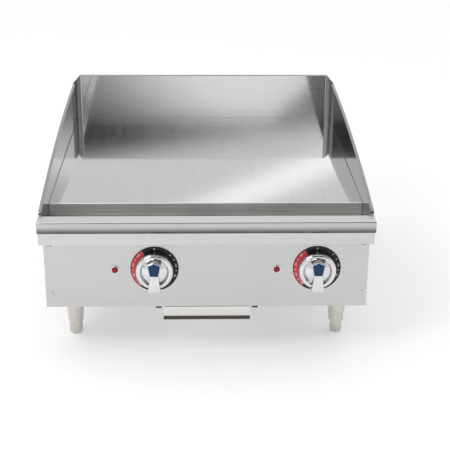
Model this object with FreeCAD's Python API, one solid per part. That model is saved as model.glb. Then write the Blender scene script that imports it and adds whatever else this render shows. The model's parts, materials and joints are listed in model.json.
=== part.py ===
import FreeCAD, Part
import math
import os

from FreeCAD import Vector

# Electric countertop griddle, in millimetres. +Z is up and +Y runs from the
# control panel to the back. The origin is the centre of the footprint, on the
# counter. Depths are measured back from the control panel's face and turned
# into Y by back().

# ---- whole griddle --------------------------------------------------------
OVERALL_WIDTH = 609.6
LEG_HEIGHT = 101.6
CABINET_WIDTH = 592.0
CABINET_DEPTH = 684.0
SHEET = 1.5
HEAVY_SHEET = 2.0
SHEET_BEND = 2.5
OVERCUT = 1.0          # how far a cutter reaches past the metal it cuts

# ---- griddle plate --------------------------------------------------------
PLATE_FRONT = 120.0
PLATE_BACK = 685.0
PLATE_TOP = 260.5
PLATE_THICKNESS = 25.4
PLATE_EDGE_ROUND = 2.0

# ---- splash guard ---------------------------------------------------------
GUARD_INNER = 298.8
GUARD_TOP = 362.5
GUARD_SKIRT = 225.7
GUARD_CORNER = 12.0
GUARD_HEM_DEPTH = 10.0
HEM_HEIGHT = 7.0
TOE_MIDDLE = (4.0, 6.2)        # run and rise from the lip's rear edge
TOE_END = (13.0, 9.6)
SIDE_EDGE_MIDDLE = (340.0, 327.0)
SIDE_EDGE_END_TOP = 346.2
CORNER_RUN = 14.0
CORNER_DROP = 16.3

# ---- front nosing ---------------------------------------------------------
LIP_TOP = 274.4
LIP_BACK = 21.0
NOSE_REACH = 13.3
NOSE_ROUND = 11.3
NOSE_BEND = 3.0
NOSE_FLANGE_BOTTOM = 236.0
APRON_REACH = 2.0
APRON_TOP = 249.2
APRON_BOTTOM = 225.7

# ---- grease trough and drain ----------------------------------------------
TROUGH_FLOOR = 206.0
TROUGH_END = 292.0
TROUGH_LIP_DROP = 5.0
TROUGH_BEND = 4.0
DRAIN_Y = 70.0
CHUTE_SIZE = (70.0, 46.0)
CHUTE_FLANGE = 12.0

# ---- screws ---------------------------------------------------------------
SCREW_RADIUS = 2.0
SCREW_HEAD_RADIUS = 3.8
SCREW_HEAD_HEIGHT = 2.0
SCREW_LENGTH = 9.0
SCREW_SLOT = (1.0, 0.8)        # width and depth
PANEL_SCREW_X = 286.0
PANEL_SCREW_Z = (128.5, 221.4)
REAR_SCREW_X = 285.0
REAR_SCREW_Z = (118.0, 168.0, 214.0)
SIDE_SCREW_Z = 216.0
SIDE_SCREW_DEPTHS = (150.0, 310.0, 470.0, 640.0)

# ---- cabinet sheets -------------------------------------------------------
PANEL_TOP = 243.2
SIDE_FLANGE = 22.0
VENT_SLOT = (8.0, 60.0)        # width and height
SIDE_VENT_FIRST = 480.0
SIDE_VENT_PITCH = 22.0
SIDE_VENT_COUNT = 7
SIDE_VENT_BOTTOM = 128.0
REAR_VENT_FIRST = -180.0
REAR_VENT_PITCH = 24.0
REAR_VENT_COUNT = 12
REAR_VENT_BOTTOM = 135.0
PAN_LIP = 14.0
PAN_INSET = 8.0
RAIL_BOTTOM = 204.0
RAIL_SHELF = 30.0
RAIL_THICKNESS = 3.0
RAIL_FRONT_GAP = 8.0
RAIL_REAR_GAP = 24.0

# ---- heating --------------------------------------------------------------
ELEMENT_RADIUS = 4.0
ELEMENT_PITCH = 64.0
ELEMENT_RUNS = 4
ELEMENT_HALF_CENTRE = 148.0
ELEMENT_FRONT = 175.0
ELEMENT_REAR = 640.0
ELEMENT_TERMINAL_DEPTH = 150.0
ELEMENT_SHEATH_END = 206.0
ELEMENT_PIN_END = 192.0
ELEMENT_PIN_RADIUS = 1.6
CLAMP_DEPTHS = (240.0, 350.0, 460.0, 570.0)
CLAMP_HALF_LENGTH = 110.0
CLAMP_BAR = (24.0, 4.0)        # width and thickness
STUD_RADIUS = 3.0
STUD_BOTTOM = 212.0
STUD_NUT = (10.0, 5.0)         # across flats and height
FIT_GAP = 0.3                  # radial room round a bolt
BLANKET_HALF_WIDTH = 262.0
BLANKET_DEPTHS = (165.0, 655.0)
BLANKET_BOTTOM = 190.0
BLANKET_TOP = 210.0
SHIELD_HALF_WIDTH = 264.0
SHIELD_DEPTHS = (160.0, 658.0)
SHIELD_SHEET = 1.2
SHIELD_LIP = 2.0
EAR_DEPTHS = ((180.0, 220.0), (480.0, 520.0))
EAR_REACH = 291.5
EAR_BOTTOM = 204.6

# ---- thermostats ----------------------------------------------------------
KNOB_X = (-95.6, 201.6)
KNOB_Z = 178.3
SHAFT_RADIUS = 3.0
SHAFT_CLEARANCE = 0.05
SHAFT_FRONT = -16.0
SHAFT_REAR = 21.5
SHAFT_BORE_REAR = 22.0
SHAFT_FLAT_LENGTH = 10.0
SHAFT_FLAT_HEIGHT = 1.8
BUSHING_RADIUS = 4.75
BUSHING_FRONT = -4.2
BUSHING_NUT = (12.5, 2.4)      # across flats and height
SWITCH_DEPTHS = (10.0, 52.0)
SWITCH_HALF_WIDTH = 22.0
SWITCH_DROP = 26.0
SWITCH_RISE = 20.0
STRAP_HALF_WIDTH = 26.0
STRAP_HALF_HEIGHT = 15.0
STRAP_REAR = 3.0
STRAP_LEG_X = 24.0
STRAP_LEG = (2.0, 10.0)        # half thickness and half height
STRAP_LEG_REAR = 12.0
SWITCH_TAB_OFFSETS = (-12.0, 0.0, 12.0)
SWITCH_TAB = (3.0, 10.0, 1.0)  # half width, length and thickness
SWITCH_TAB_DROP = 14.0
BULB_RADIUS = 3.9
BULB_GAP = 0.05
BULB_DEPTHS = (255.0, 375.0)
CAPILLARY_RADIUS = 1.2
CAPILLARY_Z = (214.0, 198.0, 190.0)
CAPILLARY_DEPTHS = (223.0, 218.0, 136.0, 132.0, 80.0)

# ---- dials and knobs ------------------------------------------------------
KNOB_REACH = 32.0
DIAL_RADIUS = 44.1
DIAL_THICKNESS = 1.5
KNOB_GAP = 0.4
KNOB_SKIRT_RADIUS = 34.5
KNOB_SKIRT_TOP_RADIUS = 27.0
KNOB_SKIRT_RIM = 12.6
GRIP_BASE = 20.5
GRIP_PEAK = 25.6
GRIP_SHOULDER = (12.9, 19.9)   # half width and height above the axis
GRIP_WAIST = (8.8, -4.0)
GRIP_TAIL = (11.8, -34.5)
GRIP_INSET = 1.0
NUT_SPACE = (8.0, 5.0)         # radius and depth
INSERT_DEPTH = 1.2
INSERT_FOOT = (8.2, -2.0)
INSERT_SHOULDER = (11.7, 19.0)
INSERT_PEAK = 24.0

# ---- pilot lamps ----------------------------------------------------------
LAMP_X = (-167.9, 127.9)
LAMP_Z = 176.8
LAMP_BODY_RADIUS = 6.4
LAMP_BODY_LENGTH = 24.0
LAMP_BEZEL_RADII = (7.0, 7.9)
LAMP_BEZEL_HEIGHT = 2.5
LENS_RADIUS = 5.7
LENS_SEAT = 3.0
LENS_DOME_RADIUS = 9.0
PRONG = (0.4, 2.0, 8.0)        # half thickness, half height and length
PRONG_OFFSET = 3.0

# ---- supply ---------------------------------------------------------------
INLET_X = 200.0
INLET_Z = 140.0
INLET_BORE_RADIUS = 10.5
INLET_BODY_RADIUS = 14.0
INLET_FLANGE_RADIUS = 19.0
INLET_NUT_RADIUS = 18.0
INLET_NUT_HEIGHT = 4.0
INLET_OUTSIDE = 2.5
INLET_INSIDE = 14.0
TERMINAL_X = (120.0, 176.0)
TERMINAL_DEPTHS = (600.0, 626.0)
TERMINAL_HEIGHT = 20.0
TERMINAL_WAYS = 3
TERMINAL_PITCH = 18.0
TERMINAL_WAY = (4.0, 12.0, 6.0)    # margin, width and depth
WIRE_RADIUS = 1.8
WIRE_COUNT = 4
WIRE_LANES = (118.0, 7.0)          # lowest height and step
WIRE_SIDE_X = (-210.0, 240.0)
WIRE_SPACING = 8.0

# ---- grease drawer --------------------------------------------------------
DRAWER_HALF_WIDTH = 80.8
DRAWER_FRONT = 3.0
DRAWER_LENGTH = 300.0
DRAWER_TOP = 99.4
DRAWER_RIM = 98.8
DRAWER_BOTTOM = 75.0
DRAWER_WALL = 1.2
DRAWER_FLANGE_REACH = 90.0
DRAWER_FLANGE_SETBACK = 6.0
DRAWER_RAIL_GAP = 0.2
FINGER_PULL_TOP = 80.5
FINGER_PULL_BOTTOM = 69.5
FINGER_PULL_RUN = 6.0
RAIL_LIP_TOP = 97.4
RAIL_SHEET = 1.2
RAIL_WEB = 93.5
RAIL_TOP_INNER = 82.0
RAIL_LIP_INNER = 84.0
RAIL_FRONT = 4.0
RAIL_STOP = (1.0, 8.0)             # from the drawer's back to the stop's two faces

# ---- legs and feet --------------------------------------------------------
LEG_X = 254.6
LEG_DEPTHS = (96.0, 592.0)
LEG_TOP_RADIUS = 20.5
LEG_FOOT_RADIUS = 14.5
LEG_GAP = 0.3
STEM_RADIUS = 4.76
STEM_CLEARANCE = 0.07
STEM_LENGTH = 48.0
STEM_BORE_LENGTH = 52.0
STUD_RISE = 14.0
FOOT_RADIUS = 13.0
FOOT_HEIGHT = 25.0
FOOT_CHAMFER = (2.5, 4.0)          # inset and height
LEG_NUT = (15.0, 8.0)              # across flats and height

SIDES = (("left", -1.0), ("right", 1.0))
ENDS = (("front", LEG_DEPTHS[0]), ("rear", LEG_DEPTHS[1]))

# ---- derived sizes --------------------------------------------------------
TOTAL_DEPTH = KNOB_REACH + PLATE_BACK + GUARD_HEM_DEPTH
FRONT_Y = KNOB_REACH - TOTAL_DEPTH / 2
PLATE_BOTTOM = PLATE_TOP - PLATE_THICKNESS
CABINET_HALF = CABINET_WIDTH / 2
OVERALL_HALF = OVERALL_WIDTH / 2
CABINET_TOP = GUARD_SKIRT - 0.5
PAN_TOP = LEG_HEIGHT + SHEET
ELEMENT_Z = PLATE_BOTTOM - ELEMENT_RADIUS
CLAMP_TOP = ELEMENT_Z - ELEMENT_RADIUS
DRAWER_REAR = DRAWER_FRONT + DRAWER_LENGTH
PANEL_SCREWS = [(sign * PANEL_SCREW_X, z) for _, sign in SIDES for z in PANEL_SCREW_Z]
REAR_SCREWS = [(sign * REAR_SCREW_X, z) for _, sign in SIDES for z in REAR_SCREW_Z]
LEG_PLACES = [(sign * LEG_X, depth) for depth in LEG_DEPTHS for _, sign in SIDES]


def back(depth):
    """Y of a point that lies depth behind the control panel's face."""
    return FRONT_Y + depth


# ---- helpers --------------------------------------------------------------
def box(x0, x1, y0, y1, z0, z1):
    """Box between two corners, with y as depth behind the panel's face."""
    return Part.makeBox(x1 - x0, y1 - y0, z1 - z0, Vector(x0, back(y0), z0))


def rod(radius, start, end):
    """Cylinder between two points given as (x, depth, z)."""
    a = Vector(start[0], back(start[1]), start[2])
    b = Vector(end[0], back(end[1]), end[2])
    return Part.makeCylinder(radius, (b - a).Length, a, b - a)


def rod_back(radius, x, z, y0, y1):
    """Cylinder that runs from depth y0 to depth y1."""
    return rod(radius, (x, y0, z), (x, y1, z))


def rod_up(radius, x, depth, z0, z1):
    """Cylinder that runs from height z0 to height z1."""
    return rod(radius, (x, depth, z0), (x, depth, z1))


def taper(radius_start, radius_end, start, end):
    """Cone frustum between two points given as (x, depth, z)."""
    a = Vector(start[0], back(start[1]), start[2])
    b = Vector(end[0], back(end[1]), end[2])
    return Part.makeCone(radius_start, radius_end, (b - a).Length, a, b - a)


def ball(radius, centre):
    return Part.makeSphere(radius, Vector(centre[0], back(centre[1]), centre[2]))


def fuse(shapes):
    shapes = list(shapes)
    if len(shapes) == 1:
        return shapes[0]
    return shapes[0].multiFuse(shapes[1:]).removeSplitter()


def group(shapes):
    """Several separate solids kept in one node."""
    return Part.makeCompound(list(shapes))


def hexagon(across_flats, centre, along, length):
    """Hexagonal bar from a centre given as (x, depth, z), along +Z or -Y."""
    radius = across_flats / math.sqrt(3)
    start = Vector(centre[0], back(centre[1]), centre[2])
    corners = []
    for k in range(7):
        u, v = radius * math.cos(k * math.pi / 3), radius * math.sin(k * math.pi / 3)
        corners.append(start + (Vector(u, v, 0) if along == "z" else Vector(u, 0, v)))
    travel = Vector(0, 0, length) if along == "z" else Vector(0, -length, 0)
    return Part.Face(Part.makePolygon(corners)).extrude(travel)


def tube_run(radius, points):
    """Round rod along straight runs, with a ball at each turn."""
    pieces = [rod(radius, a, b) for a, b in zip(points, points[1:])]
    pieces += [ball(radius, p) for p in points[1:-1]]
    return fuse(pieces)


def plane_point(plane, a, b):
    """Point of a flat section: "x" sections lie in (depth, z), "y" in (x, z), "z" in (x, depth)."""
    if plane == "x":
        return Vector(0, back(a), b)
    if plane == "y":
        return Vector(a, back(0), b)
    return Vector(a, back(b), 0)


def offset_path(points, distance):
    """Corner points of an open path moved to its left side by distance."""
    lines = []
    for (ax, ay), (bx, by) in zip(points, points[1:]):
        length = math.hypot(bx - ax, by - ay)
        nx, ny = (ay - by) / length * distance, (bx - ax) / length * distance
        lines.append(((ax + nx, ay + ny), (bx + nx, by + ny)))
    moved = [lines[0][0]]
    for ((ax, ay), (bx, by)), ((cx, cy), (dx, dy)) in zip(lines, lines[1:]):
        ux, uy, vx, vy = bx - ax, by - ay, dx - cx, dy - cy
        along = ((cx - ax) * vy - (cy - ay) * vx) / (ux * vy - uy * vx)
        moved.append((ax + ux * along, ay + uy * along))
    moved.append(lines[-1][1])
    return moved


def straight_edges(plane, start, end):
    """The line between two section points, or nothing where they meet."""
    if math.dist(start, end) < 1e-6:
        return []
    return [Part.makeLine(plane_point(plane, *start), plane_point(plane, *end))]


def path_edges(plane, points, radii):
    """Lines and tangent arcs along an open path; radii has one entry per inner corner."""
    edges = []
    last = points[0]
    for (ax, ay), (px, py), (bx, by), radius in zip(points, points[1:], points[2:], radii):
        la, lb = math.hypot(ax - px, ay - py), math.hypot(bx - px, by - py)
        ua, ub = ((ax - px) / la, (ay - py) / la), ((bx - px) / lb, (by - py) / lb)
        half = math.acos(max(-1.0, min(1.0, ua[0] * ub[0] + ua[1] * ub[1]))) / 2
        cut = radius / math.tan(half)
        start = (px + ua[0] * cut, py + ua[1] * cut)
        end = (px + ub[0] * cut, py + ub[1] * cut)
        edges += straight_edges(plane, last, start)
        if radius > 0:
            to_centre = (ua[0] + ub[0], ua[1] + ub[1])
            inset = (radius / math.sin(half) - radius) / math.hypot(*to_centre)
            middle = (px + to_centre[0] * inset, py + to_centre[1] * inset)
            edges.append(Part.Arc(plane_point(plane, *start), plane_point(plane, *middle),
                                  plane_point(plane, *end)).toShape())
        last = end
    return edges + straight_edges(plane, last, points[-1])


def extrude_along(plane, face, low, high):
    """Extrude a section's face along its axis, from low to high; "y" limits are depths."""
    axis = {"x": Vector(1, 0, 0), "y": Vector(0, 1, 0), "z": Vector(0, 0, 1)}[plane]
    face.translate(axis * low)
    return face.extrude(axis * (high - low))


def extruded_section(plane, outer, outer_radii, inner, inner_radii, low, high):
    """Extrusion of the strip between an outer and an inner path."""
    edges = path_edges(plane, outer, outer_radii)
    edges += straight_edges(plane, outer[-1], inner[-1])
    edges += path_edges(plane, inner[::-1], inner_radii[::-1])
    edges += straight_edges(plane, inner[0], outer[0])
    return extrude_along(plane, Part.Face(Part.Wire(edges)), low, high)


def turns_left(a, p, b):
    return (p[0] - a[0]) * (b[1] - p[1]) - (p[1] - a[1]) * (b[0] - p[0]) > 0


def folded_sheet(plane, points, bend, thickness, low, high):
    """Sheet folded along points with one outer bend radius, its thickness on the path's left side,
    extruded from low to high along the section's axis."""
    radii = [bend] * (len(points) - 2)
    inner = offset_path(points, thickness)
    inner_radii = [max(0.0, bend - thickness) if turns_left(a, p, b) else bend + thickness
                   for a, p, b in zip(points, points[1:], points[2:])]
    return extruded_section(plane, points, radii, inner, inner_radii, low, high)


def prism(plane, points, low, high):
    """Extruded polygon."""
    corners = [plane_point(plane, *p) for p in list(points) + [points[0]]]
    return extrude_along(plane, Part.Face(Part.makePolygon(corners)), low, high)


def mirrored_outline(x, z, half_points):
    """Closed outline symmetric about x, from (half width, height above z) points."""
    right = [(x + half, z + rise) for half, rise in half_points]
    left = [(x - half, z + rise) for half, rise in half_points[::-1] if half > 0]
    return right + left


def on_side(shape, sign):
    """A right-hand shape as it is, or mirrored for the left."""
    return shape if sign > 0 else shape.mirror(Vector(0, 0, 0), Vector(1, 0, 0))


def slot_row(count, first, pitch):
    return [first + pitch * k for k in range(count)]


# ---- cooking top ----------------------------------------------------------
def griddle_plate():
    """Solid plate with a softened front edge and its rear corners rounded to fit the guard."""
    plate = box(-GUARD_INNER, GUARD_INNER, PLATE_FRONT, PLATE_BACK, PLATE_BOTTOM, PLATE_TOP)
    rear_corners = [e for e in plate.Edges
                    if abs(e.CenterOfMass.y - back(PLATE_BACK)) < 1e-6
                    and abs(abs(e.CenterOfMass.x) - GUARD_INNER) < 1e-6]
    plate = plate.makeFillet(GUARD_CORNER, rear_corners)
    top_front = [e for e in plate.Edges
                 if abs(e.CenterOfMass.y - back(PLATE_FRONT)) < 1e-6
                 and abs(e.CenterOfMass.z - PLATE_TOP) < 1e-6]
    return plate.makeFillet(PLATE_EDGE_ROUND, top_front)


def u_outline(half, rear):
    """Plan path up one side, across the back and down the other side."""
    return [(-half, LIP_BACK), (-half, rear), (half, rear), (half, LIP_BACK)]


def u_band(inner, outer, rear_inner, rear_outer):
    """Band that wraps two sides and the back, with rounded rear corners."""
    outer_corner = GUARD_CORNER + outer - inner
    return extruded_section("z", u_outline(outer, rear_outer), [outer_corner] * 2,
                            u_outline(inner, rear_inner), [GUARD_CORNER] * 2, GUARD_SKIRT, GUARD_TOP)


def above_guard(drop):
    """Space above the guard's top edge, lowered by drop. The side edges rise from the
    front lip along one long arc, and climb to the back's height in the rear corner."""
    front = (LIP_BACK, LIP_TOP)
    toe_middle = (LIP_BACK + TOE_MIDDLE[0], LIP_TOP + TOE_MIDDLE[1])
    toe_end = (LIP_BACK + TOE_END[0], LIP_TOP + TOE_END[1])
    end = (PLATE_BACK - GUARD_CORNER, SIDE_EDGE_END_TOP)
    crest = (PLATE_BACK - 1.0, GUARD_TOP)
    high = GUARD_TOP + 40
    far = PLATE_BACK + 60
    toe = Part.Arc(plane_point("x", *front), plane_point("x", *toe_middle), plane_point("x", *toe_end))
    rise = Part.Arc(plane_point("x", *toe_end), plane_point("x", *SIDE_EDGE_MIDDLE), plane_point("x", *end))
    outline = [end, crest, (far, GUARD_TOP), (far, high), (0.0, high), (0.0, LIP_TOP), front]
    lines = [Part.makeLine(plane_point("x", *a), plane_point("x", *b)) for a, b in zip(outline, outline[1:])]
    face = Part.Face(Part.Wire([toe.toShape(), rise.toShape()] + lines))
    cutter = extrude_along("x", face, -OVERALL_WIDTH, OVERALL_WIDTH)
    low = GUARD_TOP - CORNER_DROP
    shoulder = [(OVERALL_HALF - CORNER_RUN, GUARD_TOP), (OVERALL_HALF + OVERCUT, low),
                (OVERALL_WIDTH, low), (OVERALL_WIDTH, high)]
    corners = [on_side(prism("y", shoulder, end[0], far), sign) for _, sign in SIDES]
    cutter = fuse([cutter] + corners)
    cutter.translate(Vector(0, 0, -drop))
    return cutter


def splash_guard():
    """Sheet wrapped round the plate's sides and back, with a folded hem along its top edge."""
    wall = u_band(GUARD_INNER, GUARD_INNER + HEAVY_SHEET, PLATE_BACK, PLATE_BACK + HEAVY_SHEET)
    hem = u_band(GUARD_INNER, OVERALL_HALF, PLATE_BACK, PLATE_BACK + GUARD_HEM_DEPTH)
    top = above_guard(0)
    return fuse([wall.cut(top), hem.cut(top).common(above_guard(HEM_HEIGHT))])


def front_nosing():
    """Flat lip, rolled nose and apron, folded from one sheet and open at both ends."""
    corners = [(LIP_BACK, NOSE_FLANGE_BOTTOM), (LIP_BACK, LIP_TOP), (-NOSE_REACH, LIP_TOP),
               (-NOSE_REACH, APRON_TOP), (-APRON_REACH, APRON_TOP), (-APRON_REACH, APRON_BOTTOM)]
    radii = [NOSE_BEND, NOSE_BEND, NOSE_ROUND, 0.0]
    inner_radii = [max(0.0, radius - SHEET) for radius in radii]
    return extruded_section("x", corners, radii, offset_path(corners, SHEET), inner_radii,
                            -OVERALL_HALF, OVERALL_HALF)


def chute_block(margin, z0, z1):
    half_x, half_y = CHUTE_SIZE[0] / 2 + margin, CHUTE_SIZE[1] / 2 + margin
    return box(-half_x, half_x, DRAIN_Y - half_y, DRAIN_Y + half_y, z0, z1)


def grease_trough():
    """Open channel between the nosing and the plate, with closed ends and a drain."""
    front = LIP_BACK - SHEET
    path = [(front, LIP_TOP - TROUGH_LIP_DROP), (front, TROUGH_FLOOR), (PLATE_FRONT, TROUGH_FLOOR),
            (PLATE_FRONT, PLATE_BOTTOM)]
    outer = offset_path(path, -HEAVY_SHEET)
    outer_bend = TROUGH_BEND + HEAVY_SHEET
    channel = extruded_section("x", path, [TROUGH_BEND] * 2, outer, [outer_bend] * 2,
                               -TROUGH_END, TROUGH_END)
    floor = TROUGH_FLOOR - HEAVY_SHEET
    ledge_bottom = PLATE_BOTTOM - HEAVY_SHEET
    rear = PLATE_FRONT + HEAVY_SHEET
    wall = box(TROUGH_END, TROUGH_END + HEAVY_SHEET, front - HEAVY_SHEET, rear, floor, ledge_bottom)
    ledge = box(TROUGH_END, GUARD_INNER, front + SHEET, rear, ledge_bottom, PLATE_BOTTOM)
    ends = [on_side(piece, sign) for _, sign in SIDES for piece in (wall, ledge)]
    drain = chute_block(0.0, floor - OVERCUT, TROUGH_FLOOR + OVERCUT)
    return fuse([channel] + ends).cut(drain)


def drain_chute():
    """Square duct that drops from the trough's drain to the drawer."""
    top = TROUGH_FLOOR - HEAVY_SHEET
    duct = chute_block(SHEET, LEG_HEIGHT, top)
    flange = chute_block(CHUTE_FLANGE, top - SHEET, top)
    return fuse([duct, flange]).cut(chute_block(0.0, LEG_HEIGHT - OVERCUT, top + OVERCUT))


# ---- screws ---------------------------------------------------------------
def screw(x, z, face, direction):
    """Slotted screw whose shank runs back (+1) or forward (-1) from a panel's face."""
    tip = face - direction * SCREW_HEAD_HEIGHT
    head = taper(SCREW_HEAD_RADIUS - 1.0, SCREW_HEAD_RADIUS, (x, tip, z), (x, face, z))
    slot_width, slot_depth = SCREW_SLOT
    slot_ends = sorted((tip - direction * OVERCUT, tip + direction * slot_depth))
    slot = box(x - SCREW_HEAD_RADIUS, x + SCREW_HEAD_RADIUS, *slot_ends,
               z - slot_width / 2, z + slot_width / 2)
    shank = rod_back(SCREW_RADIUS, x, z, face, face + direction * SCREW_LENGTH)
    return fuse([head.cut(slot), shank])


def side_screw(depth, z, sign):
    """Screw that enters through the cabinet's side."""
    face = sign * CABINET_HALF
    tip = face + sign * SCREW_HEAD_HEIGHT
    head = taper(SCREW_HEAD_RADIUS - 1.0, SCREW_HEAD_RADIUS, (tip, depth, z), (face, depth, z))
    return fuse([head, rod(SCREW_RADIUS, (face, depth, z), (face - sign * SCREW_LENGTH, depth, z))])


def control_panel_screws():
    return group(screw(x, z, 0.0, 1.0) for x, z in PANEL_SCREWS)


def rear_panel_screws():
    return group(screw(x, z, CABINET_DEPTH, -1.0) for x, z in REAR_SCREWS)


def side_panel_screws():
    return group(side_screw(depth, SIDE_SCREW_Z, sign)
                 for depth in SIDE_SCREW_DEPTHS for _, sign in SIDES)


def side_screw_holes(inner):
    """Cutters for the side screws, from inner out through the side."""
    return [rod(SCREW_RADIUS, (inner, depth, SIDE_SCREW_Z), (CABINET_HALF + OVERCUT, depth, SIDE_SCREW_Z))
            for depth in SIDE_SCREW_DEPTHS]


# ---- cabinet --------------------------------------------------------------
def control_panel():
    """Flat front panel with holes for the thermostats, lamps and screws."""
    panel = box(-CABINET_HALF, CABINET_HALF, 0, SHEET, LEG_HEIGHT, PANEL_TOP)
    places = [(BUSHING_RADIUS, x, KNOB_Z) for x in KNOB_X]
    places += [(LAMP_BODY_RADIUS, x, LAMP_Z) for x in LAMP_X]
    places += [(SCREW_RADIUS, x, z) for x, z in PANEL_SCREWS]
    return panel.cut(fuse(rod_back(radius, x, z, -OVERCUT, SHEET + OVERCUT) for radius, x, z in places))


def side_panel(sign):
    """Side sheet with inward flanges at the front and back, and vent slots at the rear."""
    inner, rear = CABINET_HALF - SIDE_FLANGE, CABINET_DEPTH - SHEET
    plan = [(inner, SHEET), (CABINET_HALF, SHEET), (CABINET_HALF, rear), (inner, rear)]
    wall = folded_sheet("z", plan, SHEET_BEND, SHEET, PAN_TOP, CABINET_TOP)
    skirt = box(CABINET_HALF - SHEET, CABINET_HALF, SHEET + SHEET_BEND, rear - SHEET_BEND,
                LEG_HEIGHT, PAN_TOP)
    cutters = side_screw_holes(CABINET_HALF - SHEET - OVERCUT)
    cutters += [rod_back(SCREW_RADIUS, PANEL_SCREW_X, z, 0, SHEET * 3) for z in PANEL_SCREW_Z]
    cutters += [rod_back(SCREW_RADIUS, REAR_SCREW_X, z, rear - SHEET * 2, CABINET_DEPTH)
                for z in REAR_SCREW_Z]
    width, height = VENT_SLOT
    cutters += [box(CABINET_HALF - SHEET - OVERCUT, CABINET_HALF + OVERCUT, depth, depth + width,
                    SIDE_VENT_BOTTOM, SIDE_VENT_BOTTOM + height)
                for depth in slot_row(SIDE_VENT_COUNT, SIDE_VENT_FIRST, SIDE_VENT_PITCH)]
    trough_notch = box(inner - OVERCUT, CABINET_HALF - SHEET - 0.2, 0, LIP_BACK + 2,
                       RAIL_BOTTOM - 2, CABINET_TOP + OVERCUT)
    return on_side(fuse([wall, skirt]).cut(fuse(cutters)).cut(trough_notch), sign)


def rear_panel():
    """Back sheet with a row of vent slots and the supply inlet hole."""
    front, rear = CABINET_DEPTH - SHEET, CABINET_DEPTH
    panel = box(-CABINET_HALF, CABINET_HALF, front, rear, LEG_HEIGHT, CABINET_TOP)
    width, height = VENT_SLOT
    cutters = [box(x, x + width, front - OVERCUT, rear + OVERCUT,
                   REAR_VENT_BOTTOM, REAR_VENT_BOTTOM + height)
               for x in slot_row(REAR_VENT_COUNT, REAR_VENT_FIRST, REAR_VENT_PITCH)]
    cutters += [rod_back(SCREW_RADIUS, x, z, front - OVERCUT, rear + OVERCUT) for x, z in REAR_SCREWS]
    cutters.append(rod_back(INLET_BODY_RADIUS, INLET_X, INLET_Z, front - OVERCUT, rear + OVERCUT))
    return panel.cut(fuse(cutters))


def support_rail(sign):
    """Angle along the cabinet side that carries the plate's edge."""
    outer = CABINET_HALF - SHEET
    section = [(outer, RAIL_BOTTOM), (outer, PLATE_BOTTOM), (outer - RAIL_SHELF, PLATE_BOTTOM)]
    rail = folded_sheet("y", section, RAIL_THICKNESS, RAIL_THICKNESS,
                        PLATE_FRONT + RAIL_FRONT_GAP, CABINET_DEPTH - RAIL_REAR_GAP)
    return on_side(rail.cut(fuse(side_screw_holes(outer - RAIL_THICKNESS - OVERCUT))), sign)


def base_pan():
    """Floor of the cabinet, turned up at the front and back, open over the drawer."""
    half = CABINET_HALF - SHEET
    front, rear = SHEET * 2, CABINET_DEPTH - SHEET * 2
    path = [(front, PAN_TOP + PAN_LIP), (front, LEG_HEIGHT), (rear, LEG_HEIGHT), (rear, PAN_TOP + PAN_LIP)]
    pan = folded_sheet("x", path, SHEET_BEND, SHEET, SIDE_FLANGE - half, half - SIDE_FLANGE)
    floor = box(-half, half, PAN_INSET, CABINET_DEPTH - PAN_INSET, LEG_HEIGHT, PAN_TOP)
    low, high = LEG_HEIGHT - OVERCUT, PAN_TOP + OVERCUT
    cutters = [rod_up(STEM_RADIUS + FIT_GAP, x, depth, low, high) for x, depth in LEG_PLACES]
    cutters.append(chute_block(SHEET, low, high))
    return fuse([pan, floor]).cut(fuse(cutters))


# ---- heating --------------------------------------------------------------
def stud_places(sign):
    centre = sign * ELEMENT_HALF_CENTRE
    offsets = (-ELEMENT_PITCH, ELEMENT_PITCH)
    return [(centre + offset, depth) for depth in CLAMP_DEPTHS for offset in offsets]


def heating_element(sign):
    """Tubular element bent into four runs, with two terminals turned down at the front."""
    bend = ELEMENT_PITCH / 2
    bend_front, bend_rear = ELEMENT_FRONT + bend, ELEMENT_REAR - bend
    left = sign * ELEMENT_HALF_CENTRE - (ELEMENT_RUNS - 1) * bend
    columns = [left + k * ELEMENT_PITCH for k in range(ELEMENT_RUNS)]
    pieces = []
    for x in columns:
        start = ELEMENT_TERMINAL_DEPTH if x in (columns[0], columns[-1]) else bend_front
        pieces.append(rod_back(ELEMENT_RADIUS, x, ELEMENT_Z, start, bend_rear))
    for k, (a, b) in enumerate(zip(columns, columns[1:])):
        depth, near, far = (bend_rear, bend_rear, ELEMENT_REAR + bend) if k % 2 == 0 \
            else (bend_front, ELEMENT_FRONT - bend, bend_front)
        centre = Vector((a + b) / 2, back(depth), ELEMENT_Z)
        ring = Part.makeTorus(bend, ELEMENT_RADIUS, centre, Vector(0, 0, 1))
        half_space = box(a - bend, b + bend, near, far, 0, PLATE_TOP)
        pieces.append(ring.common(half_space))
    for x in (columns[0], columns[-1]):
        pieces.append(ball(ELEMENT_RADIUS, (x, ELEMENT_TERMINAL_DEPTH, ELEMENT_Z)))
        pieces.append(rod_up(ELEMENT_RADIUS, x, ELEMENT_TERMINAL_DEPTH, ELEMENT_SHEATH_END, ELEMENT_Z))
        pieces.append(rod_up(ELEMENT_PIN_RADIUS, x, ELEMENT_TERMINAL_DEPTH,
                             ELEMENT_PIN_END, ELEMENT_SHEATH_END))
    return fuse(pieces)


def clamp_bars():
    """Flat bars that press both elements against the plate."""
    width, thickness = CLAMP_BAR
    bars = []
    for _, sign in SIDES:
        centre = sign * ELEMENT_HALF_CENTRE
        holes = fuse(rod_up(STUD_RADIUS + FIT_GAP, x, depth, BLANKET_TOP, PLATE_TOP)
                     for x, depth in stud_places(sign))
        for depth in CLAMP_DEPTHS:
            bar = box(centre - CLAMP_HALF_LENGTH, centre + CLAMP_HALF_LENGTH,
                      depth - width / 2, depth + width / 2, CLAMP_TOP - thickness, CLAMP_TOP)
            bars.append(bar.cut(holes))
    return group(bars)


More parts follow.
